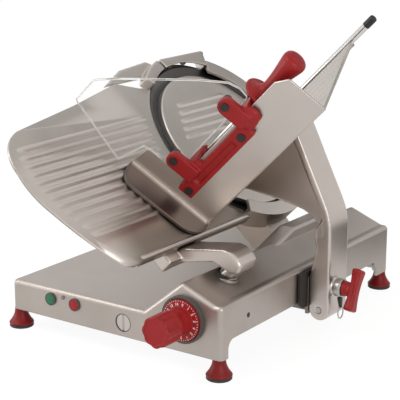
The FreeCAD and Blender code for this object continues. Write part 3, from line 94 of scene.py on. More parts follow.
def cast_metal(name, pale, deep, roughness, edge=0.0, depth=0.06):
    """Anodised aluminium casting: soft clouds of tone give it depth, its blasted grain, drawn coarse so
    that it shows, spreads the highlights, and its edges catch light over a radius given in metres."""
    made, tree, place = new_material(name)
    cloud = add(tree, "ShaderNodeTexNoise", {"Vector": place, "Scale": every(62.5), "Detail": 3.0})
    tone = add(tree, "ShaderNodeMix", {0: cloud.outputs[0], 6: srgb(deep), 7: srgb(pale)}, data_type="RGBA")
    grain = add(tree, "ShaderNodeTexNoise", {"Vector": place, "Scale": every(0.8), "Detail": 1.0})
    bump = add(tree, "ShaderNodeBump", {"Height": grain.outputs[0], "Strength": depth, "Distance": 0.0004})
    if edge:
        rounded = add(tree, "ShaderNodeBevel", {"Radius": edge}, samples=6)
        tree.links.new(rounded.outputs[0], bump.inputs["Normal"])
    wear = add(tree, "ShaderNodeMapRange", {0: cloud.outputs[0], 3: roughness - 0.05, 4: roughness + 0.06})
    shader = add(tree, "ShaderNodeBsdfPrincipled", {"Base Color": tone.outputs[2], "Metallic": 1.0,
                                                    "Roughness": wear.outputs[0], "Normal": bump.outputs[0]})
    finish_material(tree, shader.outputs[0])
    return made


# The satin casting looks soft and slightly cloudy; the second one is duller, and its darker tone is painted
# shade for the low parts that sit in shadow.
base_metal = cast_metal("satin anodised casting", "#b4aba4", "#a19891", 0.40, 0.0022)
coat(base_metal, "base_housing", "blade_housing", "belt_cover", "motor_mount")
dull_shaded_metal = cast_metal("dull casting in painted shade", "#91877f", "#7c726b", 0.48, 0.0015)
coat(dull_shaded_metal, "post_guide", "carriage_rod_blocks", "carriage_shoe")

# All shapes are drawn in millimetres, from the middle of the base at table level.
base_low, base_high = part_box("base_housing")
middle = (base_low + base_high) / 2
machine = Matrix.Translation((middle.x, middle.y, 0)) @ Matrix.Scale(0.001, 4)
front_y = -(base_high.y - base_low.y) * 500
right_x = (base_high.x - base_low.x) * 500
# Points closer than this are one point.
weld = 0.004


def placed(name, data):
    """Object with the given data, in the scene."""
    made = bpy.data.objects.new(name, data)
    bpy.context.scene.collection.objects.link(made)
    return made


def piece(name, bm, place, material, body, slot, sharp=38.0):
    """Makes a mesh drawn in millimetres a piece of the machine, smooth except at its sharp edges."""
    bmesh.ops.remove_doubles(bm, verts=bm.verts, dist=weld)
    bmesh.ops.recalc_face_normals(bm, faces=bm.faces)
    bm.transform(place)
    mesh = bpy.data.meshes.new(name)
    bm.to_mesh(mesh)
    bm.free()
    mesh.materials.append(material)
    mesh.shade_smooth()
    mesh.set_sharp_from_angle(angle=math.radians(sharp))
    made = placed(name, mesh)
    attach(made, body)
    return made


def lathe(bm, profile, centre=(0.0, 0.0, 0.0), steps=72, shape=None):
    """Turned body round Z through pairs of radius and height. shape(angle, radius, height) may change
    a radius."""
    rings = []
    for radius, height in profile:
        count = 1 if radius < 1e-6 else steps
        ring = []
        for k in range(count):
            angle = 2 * math.pi * k / count
            reach = shape(angle, radius, height) if shape and radius else radius
            x, y = centre[0] + reach * math.cos(angle), centre[1] + reach * math.sin(angle)
            ring.append(bm.verts.new((x, y, centre[2] + height)))
        rings.append(ring)
    for low, high in zip(rings, rings[1:]):
        for k in range(steps):
            corners = [low[k % len(low)], low[(k + 1) % len(low)]]
            corners += [high[(k + 1) % len(high)], high[k % len(high)]]
            corners = list(dict.fromkeys(corners))
            if len(corners) > 2:
                bm.faces.new(corners)


def flowing(points, steps=8):
    """Smooth curve through points, as Catmull and Rom draw it."""
    ends = [points[0]] + list(points) + [points[-1]]
    curve = []
    for a, b, c, d in zip(ends, ends[1:], ends[2:], ends[3:]):
        for k in range(steps):
            t = k / steps
            curve.append(tuple(0.5 * (2 * q + (r - p) * t + (2 * p - 5 * q + 4 * r - s) * t * t
                                      + (3 * q - p - 3 * r + s) * t ** 3) for p, q, r, s in zip(a, b, c, d)))
    return curve + [tuple(points[-1])]


def grained(name, colour, roughness, size, detail, strength, depth, metallic=0.0, edge=0.0):
    """Even colour under a relief of grains of a size in millimetres. Depth, in metres, is how far the
    relief stands at full strength."""
    made, tree, place = new_material(name)
    grain = add(tree, "ShaderNodeTexNoise", {"Vector": place, "Scale": every(size), "Detail": detail})
    bump = add(tree, "ShaderNodeBump", {"Height": grain.outputs[0], "Strength": strength, "Distance": depth})
    if edge:
        rounded = add(tree, "ShaderNodeBevel", {"Radius": edge}, samples=6)
        tree.links.new(rounded.outputs[0], bump.inputs["Normal"])
    shader = add(tree, "ShaderNodeBsdfPrincipled", {"Base Color": srgb(colour), "Metallic": metallic,
                                                    "Roughness": roughness, "Normal": bump.outputs[0]})
    finish_material(tree, shader.outputs[0])
    return made


# The plug of the wiring hole in the right-hand wall, of moulded nylon. Spark-eroded grain,
# drawn 0.7 mm coarse so that it shows, breaks up its shine: it looks deep black and dull.
black = grained("black moulded nylon", "#161210", 0.5, 0.714, 1.0, 0.08, 0.0003)
plug_y, plug_z, plug_radius, dimple_radius = -216.0, 94.0, 4.6, 2.4
bm = bmesh.new()
lathe(bm, [(0, -1.5), (plug_radius, -1.5), (plug_radius, 0.1), (plug_radius - 0.6, 0.5),
           (dimple_radius + 0.2, 0.5), (dimple_radius - 0.2, 0.1), (0, 0.1)])
plug_place = machine @ Matrix.Translation((right_x, plug_y, plug_z)) @ Matrix.Rotation(math.pi / 2, 4, "Y")
piece("wall_plug", bm, plug_place, black, "base", "dark_plastic")

# BOTTOM AND DRIVE. A galvanised sheet closes the base from below. Inside hang the
# painted motor with its worm gearbox, the steel pulley and the ribbed rubber belt.
# Zinc crystals show as flakes of slightly different grey.
sheet_steel, tree, place = new_material("galvanised sheet")
spangle = add(tree, "ShaderNodeTexVoronoi", {"Vector": place, "Scale": every(6.25)})
tone = add(tree, "ShaderNodeMix", {0: spangle.outputs["Color"], 6: srgb("#8f9092"), 7: srgb("#a9aaab")},
           data_type="RGBA")
shader = add(tree, "ShaderNodeBsdfPrincipled", {"Base Color": tone.outputs[2], "Metallic": 1.0,
                                                "Roughness": 0.48})
finish_material(tree, shader.outputs[0])
coat(sheet_steel, "base_bottom_cover")

# Sprayed enamel with orange peel, which makes its highlights waver.
motor_paint = grained("grey motor paint", "#4d5358", 0.5, 2.38, 2.0, 0.15, 0.0004)
coat(motor_paint, "gearbox", "gear_motor")

# Turned steel has fine tool marks, drawn 1.1 mm coarse so that they show, and is bright
# without being a mirror.
turned_steel = grained("turned steel", "#a9a6a1", 0.32, 1.111, 2.0, 0.1, 0.0003, metallic=1.0)
coat(turned_steel, "foot_studs", "blade_bearings", "cover_tie_rod", "guide_bar", "dial_cam", "gauge_post",
     "blade_hub", "motor_pulley", "guide_studs", "arm_pivot_pin", "lock_stud")

# Rubber over woven cord: black, matt and slightly uneven.
belt_rubber = grained("belt rubber", "#1d1c1b", 0.75, 1.43, 2.0, 0.3, 0.0005)
coat(belt_rubber, "drive_belt", "post_seal")
coat(black, "power_gland")

# FEET. Bell-shaped feet moulded in red plastic, screwed to the base with a steel stud,
# each on a black rubber pad that grips the table.


def moulded_red(name, pale, deep, roughness):
    """Moulded red plastic: an even, slightly waxy red with a faint flow of tone. Its spark-eroded grain,
    drawn 0.7 mm coarse so that it shows, keeps the highlights soft."""
    made, tree, place = new_material(name)
    flow = add(tree, "ShaderNodeTexNoise", {"Vector": place, "Scale": every(28.57), "Detail": 2.0})
    tone = add(tree, "ShaderNodeMix", {0: flow.outputs[0], 6: srgb(deep), 7: srgb(pale)}, data_type="RGBA")
    grain = add(tree, "ShaderNodeTexNoise", {"Vector": place, "Scale": every(0.667), "Detail": 1.0})
    rounded = add(tree, "ShaderNodeBevel", {"Radius": 0.0015}, samples=6)
    bump = add(tree, "ShaderNodeBump", {"Height": grain.outputs[0], "Strength": 0.07, "Distance": 0.0003,
                                        "Normal": rounded.outputs[0]})
    shader = add(tree, "ShaderNodeBsdfPrincipled", {"Base Color": tone.outputs[2], "Roughness": roughness,
                                                    "Specular IOR Level": 0.25, "Normal": bump.outputs[0]})
    finish_material(tree, shader.outputs[0])
    return made


def mottled(name, pale, deep, roughness, size, detail, metallic=0.0):
    """Surface without relief, whose colour wanders between two tones in spots of a size in millimetres."""
    made, tree, place = new_material(name)
    spots = add(tree, "ShaderNodeTexNoise", {"Vector": place, "Scale": every(size), "Detail": detail})
    tone = add(tree, "ShaderNodeMix", {0: spots.outputs[0], 6: srgb(deep), 7: srgb(pale)}, data_type="RGBA")
    shader = add(tree, "ShaderNodeBsdfPrincipled", {"Base Color": tone.outputs[2], "Metallic": metallic,
                                                    "Roughness": roughness})
    finish_material(tree, shader.outputs[0])
    return made


foot_red = moulded_red("deep red moulded plastic", "#7c1210", "#6c0e0d", 0.45)
# Dust from the table greys the rubber in specks.
pad_rubber = mottled("pad rubber", "#2e2a27", "#1f1c1a", 0.7, 3.33, 3.0)
foot_top, foot_radius, pad_top, pad_radius = 36.0, 22.6, 6.0, 22.0
left_feet, right_feet, front_feet, rear_feet = -223, 215, -282, 290
bell = flowing([(11.2, foot_top), (11.6, 30.0), (13.0, 24.0), (15.6, 18.0), (19.0, 12.5),
                (foot_radius - 0.8, 9.0), (foot_radius, 7.4)])
bells, pads = bmesh.new(), bmesh.new()
for foot_y in (front_feet, rear_feet):
    for foot_x in (left_feet, right_feet):
        spot = (foot_x, foot_y, 0)
        lathe(bells, [(0, foot_top)] + bell + [(foot_radius - 0.4, pad_top), (0, pad_top)], spot)
        lathe(pads, [(0, pad_top + 0.1), (pad_radius - 1.4, pad_top + 0.1), (pad_radius, 3.6),
                     (pad_radius, 1.0), (pad_radius - 1.0, 0.0), (0, 0.0)], spot)
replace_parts(piece("foot_bells", bells, machine, foot_red, "base", "red_foot"), "feet")
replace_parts(piece("foot_rubbers", pads, machine, pad_rubber, "base", "pad_rubber"), "foot_pads")

# CONTROLS. Green start and red stop push-buttons in thin dark rings, a small pilot
# lamp between them, and the quarter-turn lock of the service door, all in the front.
# Polished in the mould: the green is even, with rounded edges that take a small glint.
green_plastic, tree, place = new_material("green moulded plastic")
flow = add(tree, "ShaderNodeTexNoise", {"Vector": place, "Scale": every(16.67), "Detail": 2.0})
tone = add(tree, "ShaderNodeMix", {0: flow.outputs[0], 6: srgb("#09593a"), 7: srgb("#0c6644")},
           data_type="RGBA")
rounded = add(tree, "ShaderNodeBevel", {"Radius": 0.0012}, samples=6)
shader = add(tree, "ShaderNodeBsdfPrincipled", {"Base Color": tone.outputs[2], "Roughness": 0.35,
                                                "Normal": rounded.outputs[0]})
finish_material(tree, shader.outputs[0])
bright_red = moulded_red("bright red moulded plastic", "#98181a", "#8c1416", 0.4)
facing_front = Matrix.Rotation(math.pi / 2, 4, "X")
button_z, button_radius = 72.0, 9.5
for name, button_x, finish, slot in (("start_button", -137, green_plastic, "green_button"),
                                     ("stop_button", -82, bright_red, "red_button")):
    bm = bmesh.new()
    lathe(bm, [(0, -9.0), (button_radius, -9.0), (button_radius, 2.6), (button_radius - 0.5, 3.4),
               (button_radius - 1.4, 3.7), (0, 3.9)])
    spot = Matrix.Translation((button_x, front_y, button_z))
    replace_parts(piece(name + "_cap", bm, machine @ spot @ facing_front, finish, name, slot), name)
coat(black, "switch_blocks")

# A brown-grey filled plastic whose grain, drawn 1.1 mm coarse, gives it a satin sheen.
ring_plastic = grained("dark satin ring plastic", "#48423e", 0.5, 1.111, 1.0, 0.1, 0.0003, edge=0.0008)
coat(ring_plastic, "button_bezels", "dial_bezel")

# Pressed facets under a glossy skin make the lens sparkle a little.
lamp_lens, tree, place = new_material("smoked lamp lens")
facets = add(tree, "ShaderNodeTexVoronoi", {"Vector": place, "Scale": every(1.111)})
bump = add(tree, "ShaderNodeBump", {"Height": facets.outputs["Distance"], "Strength": 0.4,
                                    "Distance": 0.0005})
shader = add(tree, "ShaderNodeBsdfPrincipled", {"Base Color": srgb("#6f675f"), "Roughness": 0.2,
                                                "Coat Weight": 0.6, "Normal": bump.outputs[0]})
finish_material(tree, shader.outputs[0])
coat(lamp_lens, "pilot_lamp")

# Anodised plate is paler and smoother than the castings, and so are the ribs raised on it.
smooth_metal = cast_metal("smooth anodised plate", "#c4bcb5", "#b5ada6", 0.36, 0.0022)
rib_metal = cast_metal("smooth anodised relief", "#c4bcb5", "#b5ada6", 0.36)


def burnished(name, edge, dark, *slopes):
    """Smooth plate painted darker along slopes as painted shade; each slope is an axis with the place along
    it, in metres, where the darkening starts and where it is full."""
    made = cast_metal(name, "#c4bcb5", "#b5ada6", 0.36, edge)
    tree = made.node_tree
    shader = next(node for node in tree.nodes if node.type == "BSDF_PRINCIPLED")
    place = next(node for node in tree.nodes if node.type == "TEX_COORD").outputs["Object"]
    plain = shader.inputs["Base Color"].links[0].from_socket
    share = 1.0
    for axis, start, full in slopes:
        along = add(tree, "ShaderNodeVectorMath", {0: place, 1: axis}, operation="DOT_PRODUCT")
        shade_rise = add(tree, "ShaderNodeMapRange", {0: along.outputs["Value"], 1: start, 2: full},
                   interpolation_type="SMOOTHSTEP")
        both = add(tree, "ShaderNodeMath", {0: shade_rise.outputs[0], 1: share}, operation="MULTIPLY")
        share = both.outputs[0]
    tone = add(tree, "ShaderNodeMix", {0: share, 6: plain, 7: srgb(dark)}, data_type="RGBA")
    tree.links.new(tone.outputs[2], shader.inputs["Base Color"])
    return made


coat(smooth_metal, "door_lock")
# A thin dark ring in the fit gap round the lock is painted shade.
lock_x, lock_z, lock_shade_inner, lock_shade_outer = 25.5, 61.0, 15.4, 16.4
bm = bmesh.new()
lathe(bm, [(lock_shade_inner, -2.0), (lock_shade_outer, -2.0), (lock_shade_outer, 0.15), (lock_shade_inner, 0.15),
           (lock_shade_inner, -2.0)])
lock_place = machine @ Matrix.Translation((lock_x, front_y, lock_z)) @ facing_front
piece("door_lock_shade_ring", bm, lock_place, ring_plastic, "base", "dark_ring")

# DIAL. A red disc with a printed scale turns in a dark ring and sets the slice
# thickness; a fluted grip stands on it. Its marks are printed in white ink.
grip_red = moulded_red("red moulded plastic", "#921a1b", "#841415", 0.4)
dial_x, dial_z, disc_radius, disc_edge = 154.0, 95.0, 36.0, 8.0
# The grip starts 22.3 mm before the base, and the face of the disc lies 12 mm behind that.
grip_start, face_back, scale_turn = 22.3, 12.0, math.radians(-9)
grip_length, grip_radius, grip_foot, flutes, flute_depth = 57.7, 27.5, 23.0, 8, 4.4
grip_face = machine @ Matrix.Translation((dial_x, front_y - grip_start, dial_z)) @ facing_front
scale_face = grip_face @ Matrix.Translation((0, 0, -face_back)) @ Matrix.Rotation(scale_turn, 4, "Z")
bm = bmesh.new()
lathe(bm, [(0, -disc_edge), (disc_radius, -disc_edge), (disc_radius, -0.6), (disc_radius - 0.2, -0.2),
           (disc_radius - 0.6, 0), (25.4, 0), (24.4, 0.6), (23.8, 3.0), (23.4, 7.0),
           (grip_foot, face_back + 0.4), (0, face_back + 0.4)], steps=96)
disc = piece("moulded_scale_disc", bm, scale_face, grip_red, "dial", "red_plastic", 30.0)
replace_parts(disc, "dial_scale_disc")


def fluted(angle, radius, height):
    """Shallow hollows that begin 13 mm up and are full 12 mm further on, and less deep at the end."""
    start = min(max((height - 13.0) / 12.0, 0.0), 1.0)
    end = min(max((grip_length + 2.0 - height) / 10.0, 0.45), 1.0)
    wave = 0.5 - 0.5 * math.cos(flutes * angle)
    return radius - flute_depth * start * start * (3 - 2 * start) * end * wave ** 1.4


bm = bmesh.new()
grip = [(0, 0), (grip_foot, 0), (grip_foot, 8.0), (24.0, 12.0), (26.4, 17.0)]
grip += [(grip_radius, 20.0 + k * 3.6) for k in range(10)]
grip += [(grip_radius - 0.4, 56.0), (grip_radius - 1.6, grip_length), (22.0, grip_length),
         (21.2, grip_length - 0.7), (0, grip_length - 0.7)]
lathe(bm, grip, steps=160, shape=fluted)
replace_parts(piece("dial_fluted_grip", bm, grip_face, grip_red, "dial", "red_plastic", 30.0), "dial_grip")

# The ink is a little thin in places, so that its white isn't glaring.
white_ink = mottled("white printed ink", "#e6dedb", "#cfc3bf", 0.5, 2.0, 2.0)


def node_tree(name, inputs):
    """Geometry Nodes tree with named inputs; gives the tree and its input node."""
    tree = bpy.data.node_groups.new(name, "GeometryNodeTree")
    for label, kind in [("Geometry", "NodeSocketGeometry")] + inputs:
        tree.interface.new_socket(label, in_out="INPUT", socket_type=kind)
    tree.interface.new_socket("Geometry", in_out="OUTPUT", socket_type="NodeSocketGeometry")
    return tree, add(tree, "NodeGroupInput")


def close_tree(tree, geometry, material):
    """Ends a tree in real geometry with its material."""
    real = add(tree, "GeometryNodeRealizeInstances", {"Geometry": geometry})
    coated = add(tree, "GeometryNodeSetMaterial", {"Geometry": real.outputs[0], "Material": material})
    add(tree, "NodeGroupOutput", {"Geometry": coated.outputs[0]})


def solved(holder):
    """Plain mesh of what an object's modifiers make; the object itself is removed."""
    mesh = bpy.data.meshes.new_from_object(holder.evaluated_get(bpy.context.evaluated_depsgraph_get()))
    holder.modifiers.clear()
    bpy.data.objects.remove(holder)
    return mesh


def grown(tree, seeds, settings):
    """Runs a tree on a seed mesh and gives the result as a bmesh."""
    holder = placed("seeds", seeds)
    modifier = holder.modifiers.new("tree", "NODES")
    modifier.node_group = tree
    for item in tree.interface.items_tree:
        if item.in_out == "INPUT" and item.name in settings:
            modifier[item.identifier] = settings[item.name]
    bm = bmesh.new()
    bm.from_mesh(solved(holder))
    return bm


# Marks of the scale: one for each seed, turned to its place, and the one at each number long.
mark_count, marks_per_number = 45, 3
mark_step = 2 * math.pi / mark_count
marks_tree, given = node_tree("scale marks", [("Radius", "NodeSocketFloat"), ("Step", "NodeSocketFloat"),
                                              ("Width", "NodeSocketFloat"), ("Length", "NodeSocketFloat"),
                                              ("Material", "NodeSocketMaterial")])
count = add(marks_tree, "GeometryNodeInputIndex")
angle = add(marks_tree, "ShaderNodeMath", {0: count.outputs[0], 1: given.outputs["Step"]},
            operation="MULTIPLY")
after = add(marks_tree, "ShaderNodeMath", {0: count.outputs[0], 1: marks_per_number}, operation="MODULO")
short = add(marks_tree, "ShaderNodeMath", {0: after.outputs[0], 1: 0.5}, operation="GREATER_THAN")
reach = add(marks_tree, "ShaderNodeMapRange", {0: short.outputs[0], 3: 1.0, 4: 0.6})
across = add(marks_tree, "ShaderNodeMath", {0: angle.outputs[0]}, operation="SINE")
upward = add(marks_tree, "ShaderNodeMath", {0: angle.outputs[0]}, operation="COSINE")
spot = add(marks_tree, "ShaderNodeCombineXYZ", {"X": across.outputs[0], "Y": upward.outputs[0]})
place = add(marks_tree, "ShaderNodeVectorMath", {0: spot.outputs[0], "Scale": given.outputs["Radius"]},
            operation="SCALE")
moved = add(marks_tree, "GeometryNodeSetPosition", {"Geometry": given.outputs["Geometry"],
                                                    "Position": place.outputs[0]})
back = add(marks_tree, "ShaderNodeMath", {0: angle.outputs[0], 1: -1.0}, operation="MULTIPLY")
turn = add(marks_tree, "ShaderNodeCombineXYZ", {"Z": back.outputs[0]})
long_size = add(marks_tree, "ShaderNodeMath", {0: given.outputs["Length"], 1: reach.outputs[0]},
                operation="MULTIPLY")
size = add(marks_tree, "ShaderNodeCombineXYZ", {"X": given.outputs["Width"], "Y": long_size.outputs[0],
                                                "Z": 0.3})
bar = add(marks_tree, "GeometryNodeMeshCube")
marks = add(marks_tree, "GeometryNodeInstanceOnPoints",
            {"Points": moved.outputs[0], "Instance": bar.outputs[0], "Rotation": turn.outputs[0],
             "Scale": size.outputs[0]})
close_tree(marks_tree, marks.outputs[0], given.outputs["Material"])

seeds = bpy.data.meshes.new("mark seeds")
seeds.from_pydata([(0, 0, 0)] * mark_count, [], [])
bm = grown(marks_tree, seeds, {"Radius": 33.9, "Step": mark_step, "Width": 1.0, "Length": 2.9,
                               "Material": white_ink})
piece("dial_marks", bm, scale_face, white_ink, "dial", "red_plastic")

bm, number_height, number_radius = bmesh.new(), 6.8, 28.2
for number in range(mark_count // marks_per_number):
    words = bpy.data.curves.new("number", "FONT")
    words.body = str(number)
    words.size = number_height
    words.extrude = 0.12
    words.offset = 0.22
    words.align_x = "CENTER"
    words.align_y = "CENTER"
    flat = solved(placed("number", words))
    turn = Matrix.Rotation(-marks_per_number * mark_step * number, 4, "Z")
    flat.transform(turn @ Matrix.Translation((0, number_radius, 0)))
    bm.from_mesh(flat)
piece("dial_numbers", bm, scale_face, white_ink, "dial", "red_plastic", 80.0)

# BLADE AND COVER. A knife of hardened steel, ground in circles, turns in a cast
# housing. Its smooth round cover has five soft ribs and is held by a tie rod from behind.
slope = machine @ Matrix.Rotation(math.pi / 4, 4, "Y")
blade_x, blade_y, plate_level, cover_top = -234, 90, 205, 3.0
blade_place = slope @ Matrix.Translation((blade_x, blade_y, plate_level))

# Grinding leaves fine rings round the axis, drawn 0.6 mm coarse so that they show. They
# stretch its reflections across them.
knife, tree, place = new_material("ground blade steel")
spin = blade_place.inverted()
flat_place = add(tree, "ShaderNodeMapping", {"Vector": place, "Location": spin.translation * 0.001,
                                             "Rotation": (0, -math.pi / 4, 0)})
parts = add(tree, "ShaderNodeSeparateXYZ", {0: flat_place.outputs[0]})
disc = add(tree, "ShaderNodeCombineXYZ", {"X": parts.outputs[0], "Y": parts.outputs[1]})
radius = add(tree, "ShaderNodeVectorMath", {0: disc.outputs[0]}, operation="LENGTH")
circles = add(tree, "ShaderNodeTexNoise", {"W": radius.outputs["Value"], "Scale": every(0.625),
                                           "Detail": 2.0}, noise_dimensions="1D")
tone = add(tree, "ShaderNodeMix", {0: circles.outputs[0], 6: srgb("#413e3c"), 7: srgb("#5a5755")},
           data_type="RGBA")
bump = add(tree, "ShaderNodeBump", {"Height": circles.outputs[0], "Strength": 0.1, "Distance": 0.0003})
shader = add(tree, "ShaderNodeBsdfPrincipled", {"Base Color": tone.outputs[2], "Metallic": 1.0,
                                                "Roughness": 0.34, "Normal": bump.outputs[0]})
finish_material(tree, shader.outputs[0])
coat(knife, "blade")


def cad_copy(place, node):
    """Copy of a CAD node with its doubles merged, in the millimetres of a frame."""
    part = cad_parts[node]
    mesh = part.data.copy()
    mesh.transform(place.inverted() @ part.matrix_world)
    bm = bmesh.new()
    bm.from_mesh(mesh)
    bmesh.ops.remove_doubles(bm, verts=bm.verts, dist=weld)
    return bm


def flattened(bm, axis, level):
    """Presses the plain ribs of a plate flat, so that soft ones can stand in their place."""
    for vert in bm.verts:
        vert.co[axis] = min(vert.co[axis], level)
    bmesh.ops.remove_doubles(bm, verts=bm.verts, dist=weld)
    bmesh.ops.dissolve_degenerate(bm, edges=bm.edges, dist=0.002)
    return bm


bm = flattened(cad_copy(blade_place, "blade_cover"), 2, cover_top)
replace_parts(piece("plain_cover", bm, blade_place, smooth_metal, "base", "plate_alu"), "blade_cover")

# Soft ribs: each seed holds a rib's side, start and end. A wrapped grid becomes a closed ridge
# with a wave for its section, round in plan at its ends, its underside a little inside the plate.
rib_root = 0.15
rib_tree, given = node_tree("soft ribs", [("Width", "NodeSocketFloat"), ("Height", "NodeSocketFloat"),
                                          ("Fade", "NodeSocketFloat"), ("Material", "NodeSocketMaterial")])
spot = add(rib_tree, "GeometryNodeInputPosition")
rows = add(rib_tree, "GeometryNodeStoreNamedAttribute",
           {"Geometry": given.outputs["Geometry"], "Name": "row"}, data_type="FLOAT_VECTOR", domain="POINT")
rib_tree.links.new(spot.outputs[0], rows.inputs["Value"])
grid = add(rib_tree, "GeometryNodeMeshGrid", {"Size X": 1.0, "Size Y": 1.0, "Vertices X": 33,
                                              "Vertices Y": 41})
sheet = add(rib_tree, "GeometryNodeStoreNamedAttribute", {"Geometry": grid.outputs[0], "Name": "own"},
            data_type="FLOAT_VECTOR", domain="POINT")
rib_tree.links.new(spot.outputs[0], sheet.inputs["Value"])
copies = add(rib_tree, "GeometryNodeInstanceOnPoints", {"Points": rows.outputs[0],
                                                        "Instance": sheet.outputs[0]})
real = add(rib_tree, "GeometryNodeRealizeInstances", {"Geometry": copies.outputs[0]})
row = add(rib_tree, "GeometryNodeInputNamedAttribute", {"Name": "row"}, data_type="FLOAT_VECTOR")
row = add(rib_tree, "ShaderNodeSeparateXYZ", {0: row.outputs[0]})
own = add(rib_tree, "GeometryNodeInputNamedAttribute", {"Name": "own"}, data_type="FLOAT_VECTOR")
own = add(rib_tree, "ShaderNodeSeparateXYZ", {0: own.outputs[0]})
around = add(rib_tree, "ShaderNodeMath", {0: own.outputs[0], 1: 4.0, 2: 1.0}, operation="MULTIPLY_ADD")
folded = add(rib_tree, "ShaderNodeMath", {0: around.outputs[0], 1: 2.0}, operation="PINGPONG")
across = add(rib_tree, "ShaderNodeMath", {0: folded.outputs[0], 1: 1.0}, operation="SUBTRACT")
turned = add(rib_tree, "ShaderNodeMath", {0: own.outputs[0]}, operation="ABSOLUTE")
upper = add(rib_tree, "ShaderNodeMath", {0: turned.outputs[0], 1: 0.2501}, operation="LESS_THAN")
phase = add(rib_tree, "ShaderNodeMath", {0: own.outputs[1], 1: math.pi, 2: math.pi / 2},
            operation="MULTIPLY_ADD")
swing = add(rib_tree, "ShaderNodeMath", {0: phase.outputs[0]}, operation="COSINE")
along = add(rib_tree, "ShaderNodeMath", {0: swing.outputs[0], 1: -0.5, 2: 0.5}, operation="MULTIPLY_ADD")
length = add(rib_tree, "ShaderNodeMath", {0: row.outputs[2], 1: row.outputs[1]}, operation="SUBTRACT")
y = add(rib_tree, "ShaderNodeMath", {0: along.outputs[0], 1: length.outputs[0], 2: row.outputs[1]},
        operation="MULTIPLY_ADD")
rest = add(rib_tree, "ShaderNodeMath", {0: 1.0, 1: along.outputs[0]}, operation="SUBTRACT")
least = add(rib_tree, "ShaderNodeMath", {0: along.outputs[0], 1: rest.outputs[0]}, operation="MINIMUM")
inward = add(rib_tree, "ShaderNodeMath", {0: least.outputs[0], 1: length.outputs[0]}, operation="MULTIPLY")
half = add(rib_tree, "ShaderNodeMath", {0: given.outputs["Width"], 1: 0.5}, operation="MULTIPLY")
share = add(rib_tree, "ShaderNodeMath", {0: inward.outputs[0], 1: half.outputs[0]}, operation="DIVIDE",
            use_clamp=True)
missing = add(rib_tree, "ShaderNodeMath", {0: 1.0, 1: share.outputs[0]}, operation="SUBTRACT")
square = add(rib_tree, "ShaderNodeMath", {0: missing.outputs[0], 1: 2.0}, operation="POWER")
whole = add(rib_tree, "ShaderNodeMath", {0: 1.0, 1: square.outputs[0]}, operation="SUBTRACT")
cap = add(rib_tree, "ShaderNodeMath", {0: whole.outputs[0]}, operation="SQRT")
reach = add(rib_tree, "ShaderNodeMath", {0: half.outputs[0], 1: cap.outputs[0]}, operation="MULTIPLY")
x = add(rib_tree, "ShaderNodeMath", {0: across.outputs[0], 1: reach.outputs[0], 2: row.outputs[0]},
        operation="MULTIPLY_ADD")
fade = add(rib_tree, "ShaderNodeMapRange", {0: inward.outputs[0], 2: given.outputs["Fade"]},
           interpolation_type="SMOOTHSTEP")
wave = add(rib_tree, "ShaderNodeMath", {0: across.outputs[0], 1: math.pi}, operation="MULTIPLY")
wave = add(rib_tree, "ShaderNodeMath", {0: wave.outputs[0]}, operation="COSINE")
wave = add(rib_tree, "ShaderNodeMath", {0: wave.outputs[0], 1: 0.5, 2: 0.5}, operation="MULTIPLY_ADD")
wave = add(rib_tree, "ShaderNodeMath", {0: wave.outputs[0], 1: fade.outputs[0]}, operation="MULTIPLY")
wave = add(rib_tree, "ShaderNodeMath", {0: wave.outputs[0], 1: upper.outputs[0]}, operation="MULTIPLY")
z = add(rib_tree, "ShaderNodeMath", {0: wave.outputs[0], 1: given.outputs["Height"], 2: -rib_root},
        operation="MULTIPLY_ADD")
shaped = add(rib_tree, "ShaderNodeCombineXYZ", {0: x.outputs[0], 1: y.outputs[0], 2: z.outputs[0]})
moved = add(rib_tree, "GeometryNodeSetPosition", {"Geometry": real.outputs[0], "Position": shaped.outputs[0]})
close_tree(rib_tree, moved.outputs[0], given.outputs["Material"])


def soft_ribs(name, rows, width, height, fade, place, material, body, slot):
    """Ribs as pieces; rows of side, start and end along the rib, Z standing off the plate."""
    seeds = bpy.data.meshes.new(name)
    seeds.from_pydata(rows, [], [])
    bm = grown(rib_tree, seeds, {"Width": width, "Height": height + rib_root, "Fade": fade,
                                 "Material": material})
    piece(name, bm, place, material, body, slot, 60.0)


# The cover's ribs step 17 mm sideways and get shorter at both ends, as its round edge does.
rows = [(-92 + 17 * k, -78 - 9.5 * k, 84 - 13.5 * k) for k in range(5)]
soft_ribs("cover_ribs", rows, 13.0, 2.6, 16.0, blade_place @ Matrix.Translation((0, 0, cover_top)), rib_metal,
          "base", "plate_alu")

# GUARDS AND SHARPENER. A cast ring guards the rim of the knife, a smooth cast cap
# covers its top, and the sharpener sits there with one grinding and one finishing stone.
coat(smooth_metal, "ring_guard")


def softened(bm, voxel, rounds):
    """Turns a body into an even mesh, its step in millimetres, and smooths it for a number of rounds,
    so that its edges flow as cast ones do."""
    mesh = bpy.data.meshes.new("rough")
    bm.to_mesh(mesh)
    bm.free()
    holder = placed("rough", mesh)
    even = holder.modifiers.new("even", "REMESH")
    even.mode = "VOXEL"
    even.voxel_size = voxel
    even.adaptivity = 0.0
    flow = holder.modifiers.new("flow", "SMOOTH")
    flow.factor = 0.5
    flow.iterations = rounds
    bm = bmesh.new()
    bm.from_mesh(solved(holder))
    return bm


bm = softened(cad_copy(blade_place, "top_guard"), 1.6, 10)
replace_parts(piece("cast_top_guard", bm, blade_place, rib_metal, "base", "plate_alu"), "top_guard")

# The sharpener's far corner is rounded over 12 mm.
bm = softened(cad_copy(blade_place, "sharpener_body"), 1.4, 10)
far_side, corner_start, corner_reach = -194.0, 87.0, 12.0
for vert in bm.verts:
    bend = min(max((vert.co.y - corner_start) / corner_reach, 0.0), 1.0)
    vert.co.x = max(vert.co.x, far_side + corner_reach * (1 - math.sqrt(1 - bend * bend)))
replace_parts(piece("cast_sharpener_body", bm, blade_place, rib_metal, "base", "plate_alu"), "sharpener_body")


